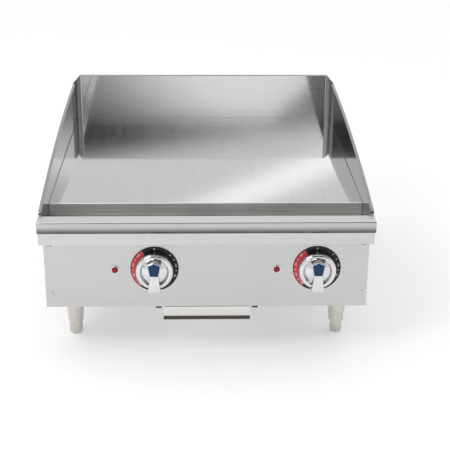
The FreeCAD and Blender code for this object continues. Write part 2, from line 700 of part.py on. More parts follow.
def clamp_studs():
    """Studs welded under the plate, each with its hexagonal nut."""
    across, height = STUD_NUT
    nut_bottom = CLAMP_TOP - CLAMP_BAR[1] - height
    return group(fuse([rod_up(STUD_RADIUS, x, depth, STUD_BOTTOM, PLATE_BOTTOM),
                       hexagon(across, (x, depth, nut_bottom), "z", height)])
                 for _, sign in SIDES for x, depth in stud_places(sign))


def insulation_blanket():
    return box(-BLANKET_HALF_WIDTH, BLANKET_HALF_WIDTH, *BLANKET_DEPTHS, BLANKET_BOTTOM, BLANKET_TOP)


def heat_shield():
    """Tray that carries the blanket and hangs between the support rails."""
    half, top, bottom = SHIELD_HALF_WIDTH, BLANKET_TOP + SHIELD_LIP, BLANKET_BOTTOM - SHIELD_SHEET
    path = [(-half, top), (-half, bottom), (half, bottom), (half, top)]
    tray = folded_sheet("y", path, SHIELD_SHEET, SHIELD_SHEET, *SHIELD_DEPTHS)
    ears = [on_side(box(half - SHIELD_SHEET / 2, EAR_REACH, *depths, EAR_BOTTOM, EAR_BOTTOM + SHEET), sign)
            for depths in EAR_DEPTHS for _, sign in SIDES]
    return fuse([tray] + ears)


# ---- thermostats ----------------------------------------------------------
def thermostat(x):
    """Switch body on a strap, with a threaded bushing through the panel and a bore for the shaft."""
    front, rear = SWITCH_DEPTHS
    body = box(x - SWITCH_HALF_WIDTH, x + SWITCH_HALF_WIDTH, front, rear,
               KNOB_Z - SWITCH_DROP, KNOB_Z + SWITCH_RISE)
    bushing = rod_back(BUSHING_RADIUS, x, KNOB_Z, BUSHING_FRONT, front)
    strap = box(x - STRAP_HALF_WIDTH, x + STRAP_HALF_WIDTH, SHEET, STRAP_REAR,
                KNOB_Z - STRAP_HALF_HEIGHT, KNOB_Z + STRAP_HALF_HEIGHT)
    thick, tall = STRAP_LEG
    legs = [box(leg_x - thick, leg_x + thick, STRAP_REAR, STRAP_LEG_REAR, KNOB_Z - tall, KNOB_Z + tall)
            for leg_x in (x - STRAP_LEG_X, x + STRAP_LEG_X)]
    half, length, thickness = SWITCH_TAB
    tab_top = KNOB_Z - SWITCH_TAB_DROP
    tabs = [box(x + offset - half, x + offset + half, rear, rear + length, tab_top - thickness, tab_top)
            for offset in SWITCH_TAB_OFFSETS]
    bore = rod_back(SHAFT_RADIUS + SHAFT_CLEARANCE, x, KNOB_Z, BUSHING_FRONT - OVERCUT, SHAFT_BORE_REAR)
    return fuse([body, bushing, strap] + legs + tabs).cut(bore)


def thermostat_nuts():
    """Thin nuts that clamp the dials and thermostats to the panel."""
    across, height = BUSHING_NUT
    front = -DIAL_THICKNESS - height - OVERCUT
    return group(hexagon(across, (x, -DIAL_THICKNESS, KNOB_Z), "y", height)
                 .cut(rod_back(BUSHING_RADIUS, x, KNOB_Z, front, 0)) for x in KNOB_X)


def shaft_flat(x):
    """Space above the flat that keys the shaft to its knob."""
    return box(x - SHAFT_RADIUS * 2, x + SHAFT_RADIUS * 2, SHAFT_FRONT - OVERCUT,
               SHAFT_FRONT + SHAFT_FLAT_LENGTH, KNOB_Z + SHAFT_FLAT_HEIGHT, KNOB_Z + SHAFT_RADIUS * 2)


def thermostat_shaft(x):
    """Round shaft with a flat at the knob end."""
    return rod_back(SHAFT_RADIUS, x, KNOB_Z, SHAFT_FRONT, SHAFT_REAR).cut(shaft_flat(x))


def temperature_sensor(sign, knob_x):
    """Sensing bulb clipped under the plate, with its capillary down to the thermostat."""
    x = sign * ELEMENT_HALF_CENTRE
    bulb_z = PLATE_BOTTOM - BULB_RADIUS - BULB_GAP
    bulb = rod_back(BULB_RADIUS, x, bulb_z, *BULB_DEPTHS)
    upper, middle, lower = CAPILLARY_Z
    ahead, drop_top, drop_front, drop_end, turn = CAPILLARY_DEPTHS
    route = [(x, BULB_DEPTHS[0] + OVERCUT, bulb_z), (x, ahead, bulb_z), (x, drop_top, upper),
             (x, drop_front, upper), (x, drop_end, middle), (knob_x, turn, lower),
             (knob_x, SWITCH_DEPTHS[1], lower)]
    return fuse([bulb, tube_run(CAPILLARY_RADIUS, route)])


# ---- dials and knobs ------------------------------------------------------
def dial_plate(x):
    """Scale ring fixed to the panel behind the knob."""
    disc = rod_back(DIAL_RADIUS, x, KNOB_Z, -DIAL_THICKNESS, 0)
    return disc.cut(rod_back(BUSHING_RADIUS, x, KNOB_Z, -DIAL_THICKNESS - OVERCUT, OVERCUT))


def knob(x):
    """Round skirt with a raised grip bar, which is waisted below its pointer."""
    rear = -(DIAL_THICKNESS + KNOB_GAP)
    rim_front = rear - KNOB_SKIRT_RIM
    skirt = fuse([rod_back(KNOB_SKIRT_RADIUS, x, KNOB_Z, rear, rim_front),
                  taper(KNOB_SKIRT_RADIUS, KNOB_SKIRT_TOP_RADIUS,
                        (x, rim_front, KNOB_Z), (x, -GRIP_BASE, KNOB_Z))])
    outline = mirrored_outline(x, KNOB_Z, [(0.0, GRIP_PEAK), GRIP_SHOULDER, GRIP_WAIST, GRIP_TAIL])
    bar = prism("y", outline, -KNOB_REACH, OVERCUT - GRIP_BASE)
    bar = bar.common(rod_back(KNOB_SKIRT_RADIUS - GRIP_INSET, x, KNOB_Z, -KNOB_REACH - OVERCUT, 0))
    bore = rod_back(SHAFT_RADIUS, x, KNOB_Z, SHAFT_FRONT, 0).cut(shaft_flat(x))
    nut_radius, nut_depth = NUT_SPACE
    nut_space = rod_back(nut_radius, x, KNOB_Z, -nut_depth, 0)
    return fuse([skirt, bar]).cut(fuse([bore, nut_space])).cut(knob_insert(x))


def knob_insert(x):
    """Five-sided pointer let into the grip's face, its peak towards the scale."""
    outline = mirrored_outline(x, KNOB_Z, [INSERT_FOOT, INSERT_SHOULDER, (0.0, INSERT_PEAK)])
    return prism("y", outline, -KNOB_REACH, -KNOB_REACH + INSERT_DEPTH)


# ---- pilot lamps ----------------------------------------------------------
def lamp_housing(x):
    """Bezel, threaded body and two terminals of a pilot lamp."""
    bezel = taper(*LAMP_BEZEL_RADII, (x, -LAMP_BEZEL_HEIGHT, LAMP_Z), (x, 0, LAMP_Z))
    body = rod_back(LAMP_BODY_RADIUS, x, LAMP_Z, 0, LAMP_BODY_LENGTH)
    thick, tall, length = PRONG
    prongs = [box(prong_x - thick, prong_x + thick, LAMP_BODY_LENGTH, LAMP_BODY_LENGTH + length,
                  LAMP_Z - tall, LAMP_Z + tall)
              for prong_x in (x - PRONG_OFFSET, x + PRONG_OFFSET)]
    seat = rod_back(LENS_RADIUS, x, LAMP_Z, -LAMP_BEZEL_HEIGHT - OVERCUT, LENS_SEAT)
    return fuse([bezel, body] + prongs).cut(seat)


def lamp_lens(x):
    """Domed lens seated in the bezel."""
    stem = rod_back(LENS_RADIUS, x, LAMP_Z, -LAMP_BEZEL_HEIGHT, LENS_SEAT)
    dome_depth = math.sqrt(LENS_DOME_RADIUS ** 2 - LENS_RADIUS ** 2) - LAMP_BEZEL_HEIGHT
    cap = rod_back(LENS_RADIUS, x, LAMP_Z, -LAMP_BEZEL_HEIGHT - LENS_SEAT, -LAMP_BEZEL_HEIGHT)
    return fuse([stem, ball(LENS_DOME_RADIUS, (x, dome_depth, LAMP_Z)).common(cap)])


# ---- supply ---------------------------------------------------------------
def conduit_fitting():
    """Threaded nipple with an outer flange and an inner lock nut."""
    outside, inside = CABINET_DEPTH + INLET_OUTSIDE, CABINET_DEPTH - INLET_INSIDE
    panel_front = CABINET_DEPTH - SHEET
    nipple = rod_back(INLET_BODY_RADIUS, INLET_X, INLET_Z, inside, outside)
    flange = rod_back(INLET_FLANGE_RADIUS, INLET_X, INLET_Z, CABINET_DEPTH, outside)
    lock = rod_back(INLET_NUT_RADIUS, INLET_X, INLET_Z, panel_front - INLET_NUT_HEIGHT, panel_front)
    bore = rod_back(INLET_BORE_RADIUS, INLET_X, INLET_Z, inside - OVERCUT, outside + OVERCUT)
    return fuse([nipple, flange, lock]).cut(bore)


def terminal_block():
    """Insulating block with three open ways, standing on the base pan."""
    top = PAN_TOP + TERMINAL_HEIGHT
    near, far = TERMINAL_DEPTHS
    body = box(*TERMINAL_X, near, far, PAN_TOP, top)
    margin, width, depth = TERMINAL_WAY
    ways = [box(x, x + width, near - OVERCUT, far + OVERCUT, top - depth, top + OVERCUT)
            for x in slot_row(TERMINAL_WAYS, TERMINAL_X[0] + margin, TERMINAL_PITCH)]
    return body.cut(fuse(ways))


def wire_route(k):
    """Route of one wire from the terminal block, round the cabinet's side, to a thermostat."""
    side, turn = k % 2, k // 2
    lane = WIRE_LANES[0] + WIRE_LANES[1] * k
    block_x = TERMINAL_X[0] + 10 + TERMINAL_PITCH * side
    side_x = WIRE_SIDE_X[side] + WIRE_SPACING * turn
    tab_x = KNOB_X[side] + SWITCH_TAB_OFFSETS[turn]
    rear = 560.0 - 12 * k
    tab_end = SWITCH_DEPTHS[1] + SWITCH_TAB[1] + 0.5
    return [(block_x, TERMINAL_DEPTHS[0] - 2, PAN_TOP + 16), (block_x, rear, lane), (side_x, rear, lane),
            (side_x, 104.0 + 10 * turn, lane), (tab_x, 90.0, lane),
            (tab_x, tab_end, KNOB_Z - SWITCH_TAB_DROP - 0.5)]


def wiring():
    return group(tube_run(WIRE_RADIUS, wire_route(k)) for k in range(WIRE_COUNT))


# ---- grease drawer --------------------------------------------------------
def grease_drawer():
    """Shallow tray with side flanges that ride in the rails and a turned-under finger pull."""
    half, front, wall = DRAWER_HALF_WIDTH, DRAWER_FRONT, DRAWER_WALL
    shell = box(-half, half, front, DRAWER_REAR, DRAWER_BOTTOM, DRAWER_RIM)
    hollow = box(wall - half, half - wall, front + wall, DRAWER_REAR - wall,
                 DRAWER_BOTTOM + wall, DRAWER_TOP + OVERCUT)
    lap = (front, FINGER_PULL_TOP)
    heel = (front + FINGER_PULL_RUN, FINGER_PULL_BOTTOM)
    face = prism("x", [(front, DRAWER_TOP), lap, heel, (heel[0] + SHEET, heel[1]),
                       (front + wall, FINGER_PULL_TOP), (front + wall, DRAWER_TOP)], -half, half)
    ahead = front - OVERCUT
    corner = prism("x", [(ahead, FINGER_PULL_TOP), lap, heel, (ahead, FINGER_PULL_BOTTOM)],
                   -half - OVERCUT, half + OVERCUT)
    flange_bottom = RAIL_LIP_TOP + DRAWER_RAIL_GAP
    flange = box(half - wall / 2, DRAWER_FLANGE_REACH, front + DRAWER_FLANGE_SETBACK, DRAWER_REAR,
                 flange_bottom, DRAWER_RIM)
    return fuse([shell.cut(hollow).cut(corner), face] + [on_side(flange, sign) for _, sign in SIDES])


def drawer_rail(sign):
    """C-shaped rail hung under the base pan, closed by a stop at its back."""
    outer = RAIL_WEB + RAIL_SHEET
    stop_near, stop_far = DRAWER_REAR + RAIL_STOP[0], DRAWER_REAR + RAIL_STOP[1]
    lip_bottom = RAIL_LIP_TOP - RAIL_SHEET
    top = box(RAIL_TOP_INNER, outer, RAIL_FRONT, stop_far, LEG_HEIGHT - RAIL_SHEET, LEG_HEIGHT)
    web = box(RAIL_WEB, outer, RAIL_FRONT, stop_far, lip_bottom, LEG_HEIGHT)
    lip = box(RAIL_LIP_INNER, outer, RAIL_FRONT, stop_far, lip_bottom, RAIL_LIP_TOP)
    stop = box(RAIL_TOP_INNER, outer, stop_near, stop_far, lip_bottom, LEG_HEIGHT)
    return on_side(fuse([top, web, lip, stop]), sign)


# ---- legs -----------------------------------------------------------------
def leg(sign, depth):
    """Tapered leg with a stud through the base pan and a threaded bore for its foot."""
    x = sign * LEG_X
    body = taper(LEG_FOOT_RADIUS, LEG_TOP_RADIUS,
                 (x, depth, FOOT_HEIGHT + LEG_GAP), (x, depth, LEG_HEIGHT))
    stud = rod_up(STEM_RADIUS, x, depth, LEG_HEIGHT - OVERCUT, PAN_TOP + STUD_RISE)
    bore = rod_up(STEM_RADIUS + STEM_CLEARANCE, x, depth, FOOT_HEIGHT, FOOT_HEIGHT + STEM_BORE_LENGTH)
    return fuse([body, stud]).cut(bore)


def foot(sign, depth):
    """Round foot on its stem, with a softened bottom edge."""
    x = sign * LEG_X
    inset, rise = FOOT_CHAMFER
    pad = taper(FOOT_RADIUS - inset, FOOT_RADIUS, (x, depth, 0), (x, depth, rise))
    body = rod_up(FOOT_RADIUS, x, depth, rise, FOOT_HEIGHT)
    stem = rod_up(STEM_RADIUS, x, depth, FOOT_HEIGHT - OVERCUT, FOOT_HEIGHT + STEM_LENGTH)
    return fuse([pad, body, stem])


def leg_nuts():
    """Nuts that hold the legs to the base pan."""
    across, height = LEG_NUT
    return group(hexagon(across, (x, depth, PAN_TOP), "z", height)
                 .cut(rod_up(STEM_RADIUS, x, depth, PAN_TOP - OVERCUT, PAN_TOP + height + OVERCUT))
                 for x, depth in LEG_PLACES)


# ---- all nodes ------------------------------------------------------------
def build_nodes():
    nodes = {
        "griddle_plate": griddle_plate(),
        "splash_guard": splash_guard(),
        "front_nosing": front_nosing(),
        "grease_trough": grease_trough(),
        "drain_chute": drain_chute(),
        "control_panel": control_panel(),
        "control_panel_screws": control_panel_screws(),
        "rear_panel": rear_panel(),
        "rear_panel_screws": rear_panel_screws(),
        "side_panel_screws": side_panel_screws(),
        "base_pan": base_pan(),
        "clamp_bars": clamp_bars(),
        "clamp_studs": clamp_studs(),
        "insulation_blanket": insulation_blanket(),
        "heat_shield": heat_shield(),
        "thermostat_nuts": thermostat_nuts(),
        "conduit_fitting": conduit_fitting(),
        "terminal_block": terminal_block(),
        "wiring": wiring(),
        "grease_drawer": grease_drawer(),
        "leg_nuts": leg_nuts(),
    }
    for (side, sign), knob_x, lamp_x in zip(SIDES, KNOB_X, LAMP_X):
        nodes["side_panel_" + side] = side_panel(sign)
        nodes["support_rail_" + side] = support_rail(sign)
        nodes["heating_element_" + side] = heating_element(sign)
        nodes["thermostat_" + side] = thermostat(knob_x)
        nodes["thermostat_shaft_" + side] = thermostat_shaft(knob_x)
        nodes["temperature_sensor_" + side] = temperature_sensor(sign, knob_x)
        nodes["dial_plate_" + side] = dial_plate(knob_x)
        nodes["knob_" + side] = knob(knob_x)
        nodes["knob_insert_" + side] = knob_insert(knob_x)
        nodes["lamp_housing_" + side] = lamp_housing(lamp_x)
        nodes["lamp_lens_" + side] = lamp_lens(lamp_x)
        nodes["drawer_rail_" + side] = drawer_rail(sign)
        for end, depth in ENDS:
            nodes["leg_" + end + "_" + side] = leg(sign, depth)
            nodes["foot_" + end + "_" + side] = foot(sign, depth)
    return nodes


os.makedirs("parts", exist_ok=True)
for name, shape in build_nodes().items():
    if not shape.isValid():
        raise ValueError(name + " is not a valid shape")
    shape.exportStep("parts/" + name + ".step")
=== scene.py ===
import json
import math

import bmesh
import bpy
from mathutils import Matrix, Vector

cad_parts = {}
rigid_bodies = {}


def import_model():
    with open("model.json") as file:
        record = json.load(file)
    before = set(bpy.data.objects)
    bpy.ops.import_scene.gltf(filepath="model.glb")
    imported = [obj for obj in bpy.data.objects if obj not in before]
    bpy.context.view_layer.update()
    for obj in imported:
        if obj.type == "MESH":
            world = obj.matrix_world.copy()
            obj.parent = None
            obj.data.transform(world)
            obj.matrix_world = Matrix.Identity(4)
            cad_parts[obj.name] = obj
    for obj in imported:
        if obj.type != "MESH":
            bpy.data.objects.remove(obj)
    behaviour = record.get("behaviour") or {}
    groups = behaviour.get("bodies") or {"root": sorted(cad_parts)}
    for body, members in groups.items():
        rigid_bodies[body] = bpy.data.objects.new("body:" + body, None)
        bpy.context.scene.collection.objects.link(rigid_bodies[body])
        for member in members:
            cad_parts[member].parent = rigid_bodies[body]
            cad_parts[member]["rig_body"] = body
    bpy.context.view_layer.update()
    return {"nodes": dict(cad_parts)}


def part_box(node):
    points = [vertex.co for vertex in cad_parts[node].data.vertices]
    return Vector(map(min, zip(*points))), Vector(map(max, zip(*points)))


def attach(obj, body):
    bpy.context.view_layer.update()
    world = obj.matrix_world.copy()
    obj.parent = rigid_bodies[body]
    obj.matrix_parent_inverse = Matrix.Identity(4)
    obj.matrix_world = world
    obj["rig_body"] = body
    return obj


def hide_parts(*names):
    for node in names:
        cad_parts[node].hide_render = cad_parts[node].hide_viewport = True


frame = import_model()
nodes = frame["nodes"]
MM = 0.001
SIDES = ("left", "right")
ENDS = ("front", "rear")

# ---- camera -----------------------------------------------------------------
CAMERA_PLACE = Vector((-0.0216, -2.1560, 1.0092))
CAMERA_PITCH = math.radians(22.206)
CAMERA_YAW = math.radians(1.698)
CAMERA_ROLL = math.radians(0.447)
CAMERA_LENS = 87.56


def make_camera():
    """Camera at the reference view: pitched down, turned to the right, rolled about its axis."""
    data = bpy.data.cameras.new("camera")
    data.lens = CAMERA_LENS
    data.sensor_width = 36.0
    data.clip_end = 50.0
    camera = bpy.data.objects.new("camera", data)
    bpy.context.scene.collection.objects.link(camera)
    forward = Vector((math.sin(CAMERA_YAW) * math.cos(CAMERA_PITCH),
                      math.cos(CAMERA_YAW) * math.cos(CAMERA_PITCH), -math.sin(CAMERA_PITCH)))
    level = Vector((math.cos(CAMERA_YAW), -math.sin(CAMERA_YAW), 0.0))
    lift = level.cross(forward)
    right = level * math.cos(CAMERA_ROLL) + lift * math.sin(CAMERA_ROLL)
    up = lift * math.cos(CAMERA_ROLL) - level * math.sin(CAMERA_ROLL)
    turn = Matrix((right, up, -forward)).transposed().to_4x4()
    camera.matrix_world = Matrix.Translation(CAMERA_PLACE) @ turn
    bpy.context.scene.camera = camera


# ---- shader helpers ---------------------------------------------------------
def new_material(name):
    """New material with its node tree and its shader."""
    material = bpy.data.materials.new(name)
    material.use_nodes = True
    tree = material.node_tree
    return material, tree, tree.nodes["Principled BSDF"]


def put(tree, kind, settings=None, **sockets):
    """New shader node with its settings; sockets are values or outputs to link, by input name."""
    node = tree.nodes.new(kind)
    for key, value in (settings or {}).items():
        setattr(node, key, value)
    for key, value in sockets.items():
        name = key.replace("_", " ")
        socket = node.inputs[int(name[1:])] if name[0] == "i" and name[1:].isdigit() else node.inputs[name]
        if isinstance(value, bpy.types.NodeSocket):
            tree.links.new(value, socket)
        else:
            socket.default_value = value
    return node


def maths(tree, operation, a, b=0.0):
    """One arithmetic node."""
    return put(tree, "ShaderNodeMath", {"operation": operation}, i0=a, i1=b).outputs[0]


def noise(tree, scale, detail=4.0, seed=0.0, roughness=0.6):
    """Noise in object space, with a scale for each axis in cycles per metre."""
    coords = put(tree, "ShaderNodeTexCoord").outputs["Object"]
    mapped = put(tree, "ShaderNodeMapping", Vector=coords, Scale=scale,
                 Location=(seed, seed * 1.7, seed * 0.3)).outputs["Vector"]
    return put(tree, "ShaderNodeTexNoise", Vector=mapped, Scale=1.0, Detail=detail,
               Roughness=roughness).outputs["Fac"]


def spread(tree, value, low, high, start=0.3, end=0.7):
    """Value remapped from start..end to low..high."""
    node = put(tree, "ShaderNodeMapRange", Value=value, From_Min=start, From_Max=end,
               To_Min=low, To_Max=high)
    return node.outputs["Result"]


def ramp(tree, value, start, end, low=0.0, high=1.0):
    """Smooth step of a value from low to high."""
    return put(tree, "ShaderNodeMapRange", {"interpolation_type": "SMOOTHSTEP"}, Value=value,
               From_Min=start, From_Max=end, To_Min=low, To_Max=high).outputs["Result"]


def mixed(tree, factor, first, second):
    """First number at factor 0, second at factor 1."""
    node = put(tree, "ShaderNodeMix", {"data_type": "FLOAT"}, i0=factor, i2=first, i3=second)
    return node.outputs[0]


def blend_colours(tree, factor, first, second):
    """First colour at factor 0, second at factor 1; each may be an output or a plain colour."""
    node = put(tree, "ShaderNodeMix", {"data_type": "RGBA"})
    for socket, value in ((node.inputs[0], factor), (node.inputs[6], first), (node.inputs[7], second)):
        if isinstance(value, bpy.types.NodeSocket):
            tree.links.new(value, socket)
        elif socket == node.inputs[0]:
            socket.default_value = value
        else:
            socket.default_value = (*value, 1.0)
    return node.outputs[2]


def shade(colour, factor):
    """Lighter or darker colour."""
    return tuple(min(1.0, channel * factor) for channel in colour)


def relief(tree, shader, height, strength, distance, under=None):
    """Bump on the shader's normal, over another bump where one is given."""
    bump = put(tree, "ShaderNodeBump", Strength=strength, Distance=distance, Height=height)
    if under:
        tree.links.new(under, bump.inputs["Normal"])
    tree.links.new(bump.outputs["Normal"], shader.inputs["Normal"])


def brushed_along(tree, shader, axis, anisotropy):
    """Highlights that stretch across the brushing's direction."""
    shader.inputs["Anisotropic"].default_value = anisotropy
    tangent = put(tree, "ShaderNodeCombineXYZ", X=axis[0], Y=axis[1], Z=axis[2])
    tree.links.new(tangent.outputs[0], shader.inputs["Tangent"])


def object_height(tree):
    """Height of the shaded point above the counter, in metres."""
    place = put(tree, "ShaderNodeTexCoord").outputs["Object"]
    return put(tree, "ShaderNodeSeparateXYZ", Vector=place).outputs["Z"]


FINE_GRAIN = 1400.0
COARSE_GRAIN = 160.0
ALONG_GRAIN = {"fine": 9.0, "coarse": 2.0}
FINE_SHARE = 0.45
SCRATCH_DEPTH = 0.06 * MM
NICK_DEPTH = 0.05 * MM
AXES = {"x": (1, 0, 0), "y": (0, 1, 0)}


def grain_scale(axis, across, along):
    """Noise scale that draws long marks along an axis."""
    return tuple(along if hit else across for hit in AXES[axis])


def brushed_steel(name, colour, roughness, grain="x", anisotropy=0.5, contrast=0.05, depth=0.15,
                  waviness=0.0, smudge=0.12, seed=0.0, glancing=1.0):
    """Steel with fine scratches along one axis, broad faint streaks, smudges and gentle waves.

    glancing below 1 weakens the mirror at flat angles.
    """
    material, tree, shader = new_material(name)
    fine = noise(tree, grain_scale(grain, FINE_GRAIN, ALONG_GRAIN["fine"]), 3.0, seed)
    streaks = noise(tree, grain_scale(grain, COARSE_GRAIN, ALONG_GRAIN["coarse"]), 6.0, seed + 3.1)
    smudges = noise(tree, (7.0, 7.0, 7.0), 5.0, seed + 7.7, 0.55)
    lines = maths(tree, "ADD", maths(tree, "MULTIPLY", fine, FINE_SHARE),
                  maths(tree, "MULTIPLY", streaks, 1 - FINE_SHARE))
    base = blend_colours(tree, spread(tree, lines, 0.0, 1.0, 0.35, 0.65),
                         shade(colour, 1 - contrast), shade(colour, 1 + contrast))
    tree.links.new(blend_colours(tree, spread(tree, smudges, 0.0, 0.6), base, colour),
                   shader.inputs["Base Color"])
    shader.inputs["Metallic"].default_value = 1.0
    rough = maths(tree, "ADD", spread(tree, smudges, roughness * (1 - smudge), roughness * (1 + smudge)),
                  spread(tree, fine, -0.025, 0.025))
    tree.links.new(rough, shader.inputs["Roughness"])
    shader.inputs["Specular Tint"].default_value = (glancing, glancing, glancing, 1)
    brushed_along(tree, shader, AXES[grain], anisotropy)
    wave = None
    if waviness:
        wide = noise(tree, (4.0, 4.0, 4.0), 1.5, seed + 11.0)
        wave = put(tree, "ShaderNodeBump", Strength=waviness, Distance=4 * MM,
                   Height=wide).outputs["Normal"]
    relief(tree, shader, lines, depth, SCRATCH_DEPTH, wave)
    return material


def nicked_edge(name, colour, roughness=0.22):
    """Bent or sheared edge of a sheet, with small nicks; the colour given is the sheet's own tone for
    sheet edges and a painted shade for the guard's hem and corner bends.
    """
    material, tree, shader = new_material(name)
    nicks = noise(tree, (180.0, 180.0, 180.0), 4.0, 5.0)
    tree.links.new(blend_colours(tree, spread(tree, nicks, 0.0, 1.0), shade(colour, 0.92),
                                 shade(colour, 1.08)), shader.inputs["Base Color"])
    shader.inputs["Metallic"].default_value = 1.0
    tree.links.new(spread(tree, nicks, roughness * 0.8, roughness * 1.3), shader.inputs["Roughness"])
    relief(tree, shader, nicks, 0.1, NICK_DEPTH)
    return material


def painted_shade_roll(name, upper_tone, shade_tone, roughness, fade):
    """Rolled steel painted darker towards its foot as painted shade; fade holds the two heights in metres.
    """
    material, tree, shader = new_material(name)
    nicks = noise(tree, (9.0, 120.0, 120.0), 4.0, 6.0)
    tone = maths(tree, "ADD", ramp(tree, object_height(tree), *fade), spread(tree, nicks, -0.06, 0.06))
    tree.links.new(blend_colours(tree, tone, shade_tone, upper_tone), shader.inputs["Base Color"])
    shader.inputs["Metallic"].default_value = 1.0
    tree.links.new(spread(tree, nicks, roughness * 0.85, roughness * 1.2), shader.inputs["Roughness"])
    relief(tree, shader, nicks, 0.1, NICK_DEPTH)
    return material


def chrome(name, colour, roughness=0.05, seed=0.0):
    """Bright plating with faint handling marks and a slightly uneven surface."""
    material, tree, shader = new_material(name)
    marks = noise(tree, (60.0, 60.0, 60.0), 5.0, seed)
    specks = noise(tree, (900.0, 900.0, 900.0), 3.0, seed + 2.0)
    tree.links.new(blend_colours(tree, spread(tree, marks, 0.0, 1.0), shade(colour, 0.95), colour),
                   shader.inputs["Base Color"])
    shader.inputs["Metallic"].default_value = 1.0
    tree.links.new(maths(tree, "ADD", spread(tree, marks, roughness * 0.6, roughness * 1.8),
                         spread(tree, specks, 0.0, 0.02)), shader.inputs["Roughness"])
    relief(tree, shader, marks, 0.12, 0.15 * MM)
    return material


def moulded(name, colour, roughness, grain=500.0, contrast=0.12, depth=0.1, metallic=0.0, coat=0.0,
            specular=0.5):
    """Enamel, plastic, ceramic or cast metal with a fine mottled grain."""
    material, tree, shader = new_material(name)
    mottle = noise(tree, (grain, grain, grain), 5.0, 1.3)
    patches = noise(tree, (35.0, 35.0, 35.0), 3.0, 4.1)
    fine = blend_colours(tree, spread(tree, mottle, 0.0, 1.0), shade(colour, 1 - contrast),
                         shade(colour, 1 + contrast))
    tree.links.new(blend_colours(tree, spread(tree, patches, 0.0, 0.5), fine, shade(colour, 0.85)),
                   shader.inputs["Base Color"])
    shader.inputs["Metallic"].default_value = metallic
    shader.inputs["Coat Weight"].default_value = coat
    shader.inputs["Specular IOR Level"].default_value = specular
    tree.links.new(maths(tree, "ADD", spread(tree, patches, roughness * 0.85, roughness * 1.15),
                         spread(tree, mottle, -0.03, 0.03)), shader.inputs["Roughness"])
    relief(tree, shader, mottle, depth, 0.1 * MM)
    return material


def threaded(name, colour, pitch):
    """Steel with a fine screw thread along the vertical axis, its grooves darkened with painted shade."""
    material, tree, shader = new_material(name)
    grease = noise(tree, (140.0, 140.0, 140.0), 4.0, 3.3)
    turns = maths(tree, "PINGPONG", object_height(tree), pitch / 2)
    groove = maths(tree, "MULTIPLY", turns, 2 / pitch)
    # painted shade: the colour darkens in the thread's grooves
    tree.links.new(blend_colours(tree, groove, shade(colour, 0.45), colour), shader.inputs["Base Color"])
    shader.inputs["Metallic"].default_value = 1.0
    tree.links.new(spread(tree, grease, 0.22, 0.38), shader.inputs["Roughness"])
    relief(tree, shader, groove, 0.9, pitch / 2)
    return material


PLATE_COLOUR = (0.60, 0.605, 0.61)
HEAT_TINT = (0.60, 0.585, 0.555)
PLATE_GRIND = (1.0, 0.3, 0.0)


def ground_plate():
    """Thick plate, ground and polished, with crossed scratches and a faint heat tint."""
    material, tree, shader = new_material("plate_steel")
    long_marks = noise(tree, (420.0, 7.0, 30.0), 4.0, 2.0)
    cross_marks = noise(tree, (18.0, 520.0, 30.0), 3.0, 9.0)
    tint = noise(tree, (3.0, 3.0, 3.0), 2.0, 5.0)
    marks = maths(tree, "ADD", maths(tree, "MULTIPLY", long_marks, 0.6),
                  maths(tree, "MULTIPLY", cross_marks, 0.4))
    base = blend_colours(tree, spread(tree, marks, 0.0, 1.0, 0.35, 0.65),
                         shade(PLATE_COLOUR, 0.97), shade(PLATE_COLOUR, 1.025))
    tree.links.new(blend_colours(tree, spread(tree, tint, 0.0, 0.35), base, HEAT_TINT),
                   shader.inputs["Base Color"])
    shader.inputs["Metallic"].default_value = 1.0
    tree.links.new(maths(tree, "ADD", spread(tree, tint, 0.06, 0.08), spread(tree, marks, -0.02, 0.02)),
                   shader.inputs["Roughness"])
    brushed_along(tree, shader, PLATE_GRIND, 0.6)
    relief(tree, shader, marks, 0.06, 0.03 * MM)
    return material


# ---- stage ------------------------------------------------------------------
FLOOR_GLOW = 0.37
FLOOR_REACH = 9.0
FLOOR_TONE = 0.66
KEY_PLACE = Vector((-1.4, -1.6, 2.2))
KEY_TARGET = Vector((0.0, 0.0, 0.2))
KEY_SIZE = 1.2
KEY_POWER = 29


def make_floor():
    """Pale back-lit floor."""
    mesh = bpy.data.meshes.new("floor")
    corners = [(x * FLOOR_REACH, y * FLOOR_REACH, 0) for x, y in ((-1, -1), (1, -1), (1, 1), (-1, 1))]
    mesh.from_pydata(corners, [], [(0, 1, 2, 3)])
    floor = bpy.data.objects.new("floor", mesh)
    bpy.context.scene.collection.objects.link(floor)
    material, _, shader = new_material("floor_paper")
    shader.inputs["Base Color"].default_value = (FLOOR_TONE, FLOOR_TONE, FLOOR_TONE, 1)
    shader.inputs["Roughness"].default_value = 0.85
    shader.inputs["Emission Color"].default_value = (1, 1, 1, 1)
    shader.inputs["Emission Strength"].default_value = FLOOR_GLOW
    mesh.materials.append(material)


def make_key_light():
    """Soft square light, high at the front left."""
    data = bpy.data.lights.new("key", "AREA")
    data.shape = "RECTANGLE"
    data.size = data.size_y = KEY_SIZE
    data.energy = KEY_POWER
    light = bpy.data.objects.new("key", data)
    bpy.context.scene.collection.objects.link(light)
    aim = (KEY_TARGET - KEY_PLACE).to_track_quat("-Z", "Y").to_matrix().to_4x4()
    light.matrix_world = Matrix.Translation(KEY_PLACE) @ aim


# The room's brightness is a pattern of levels (1 = white). Directions are given by their height
# and their run to the right, both for one unit of run towards or away from the front. The cap's
# heights, REAR_START and FRONT_END are parts of the direction itself, which has length 1.
ROOM_LEVEL = 1.2
PLAIN_LEVEL = 0.85            # front, outside the pattern
PATTERN_SPAN = (0.28, 0.40)
PATTERN_FOOT = (0.17, 0.24)

SHADE_TOP = (0.294, 0.304)    # dark screen, low at the front
SHADE_FOOT = (0.20, 0.25)
SHADE_LOW = 0.34
SHADE_LEVEL = 0.02
OPENING_LEFT = (-0.115, 0.045)    # pale gap in the dark screen
OPENING_RIGHT = (0.086, 0.096)
OPENING_LOW = 1.6
OPENING_HIGH = 0.50
OPENING_PIVOT = 0.284
OPENING_LEAN = 1.0

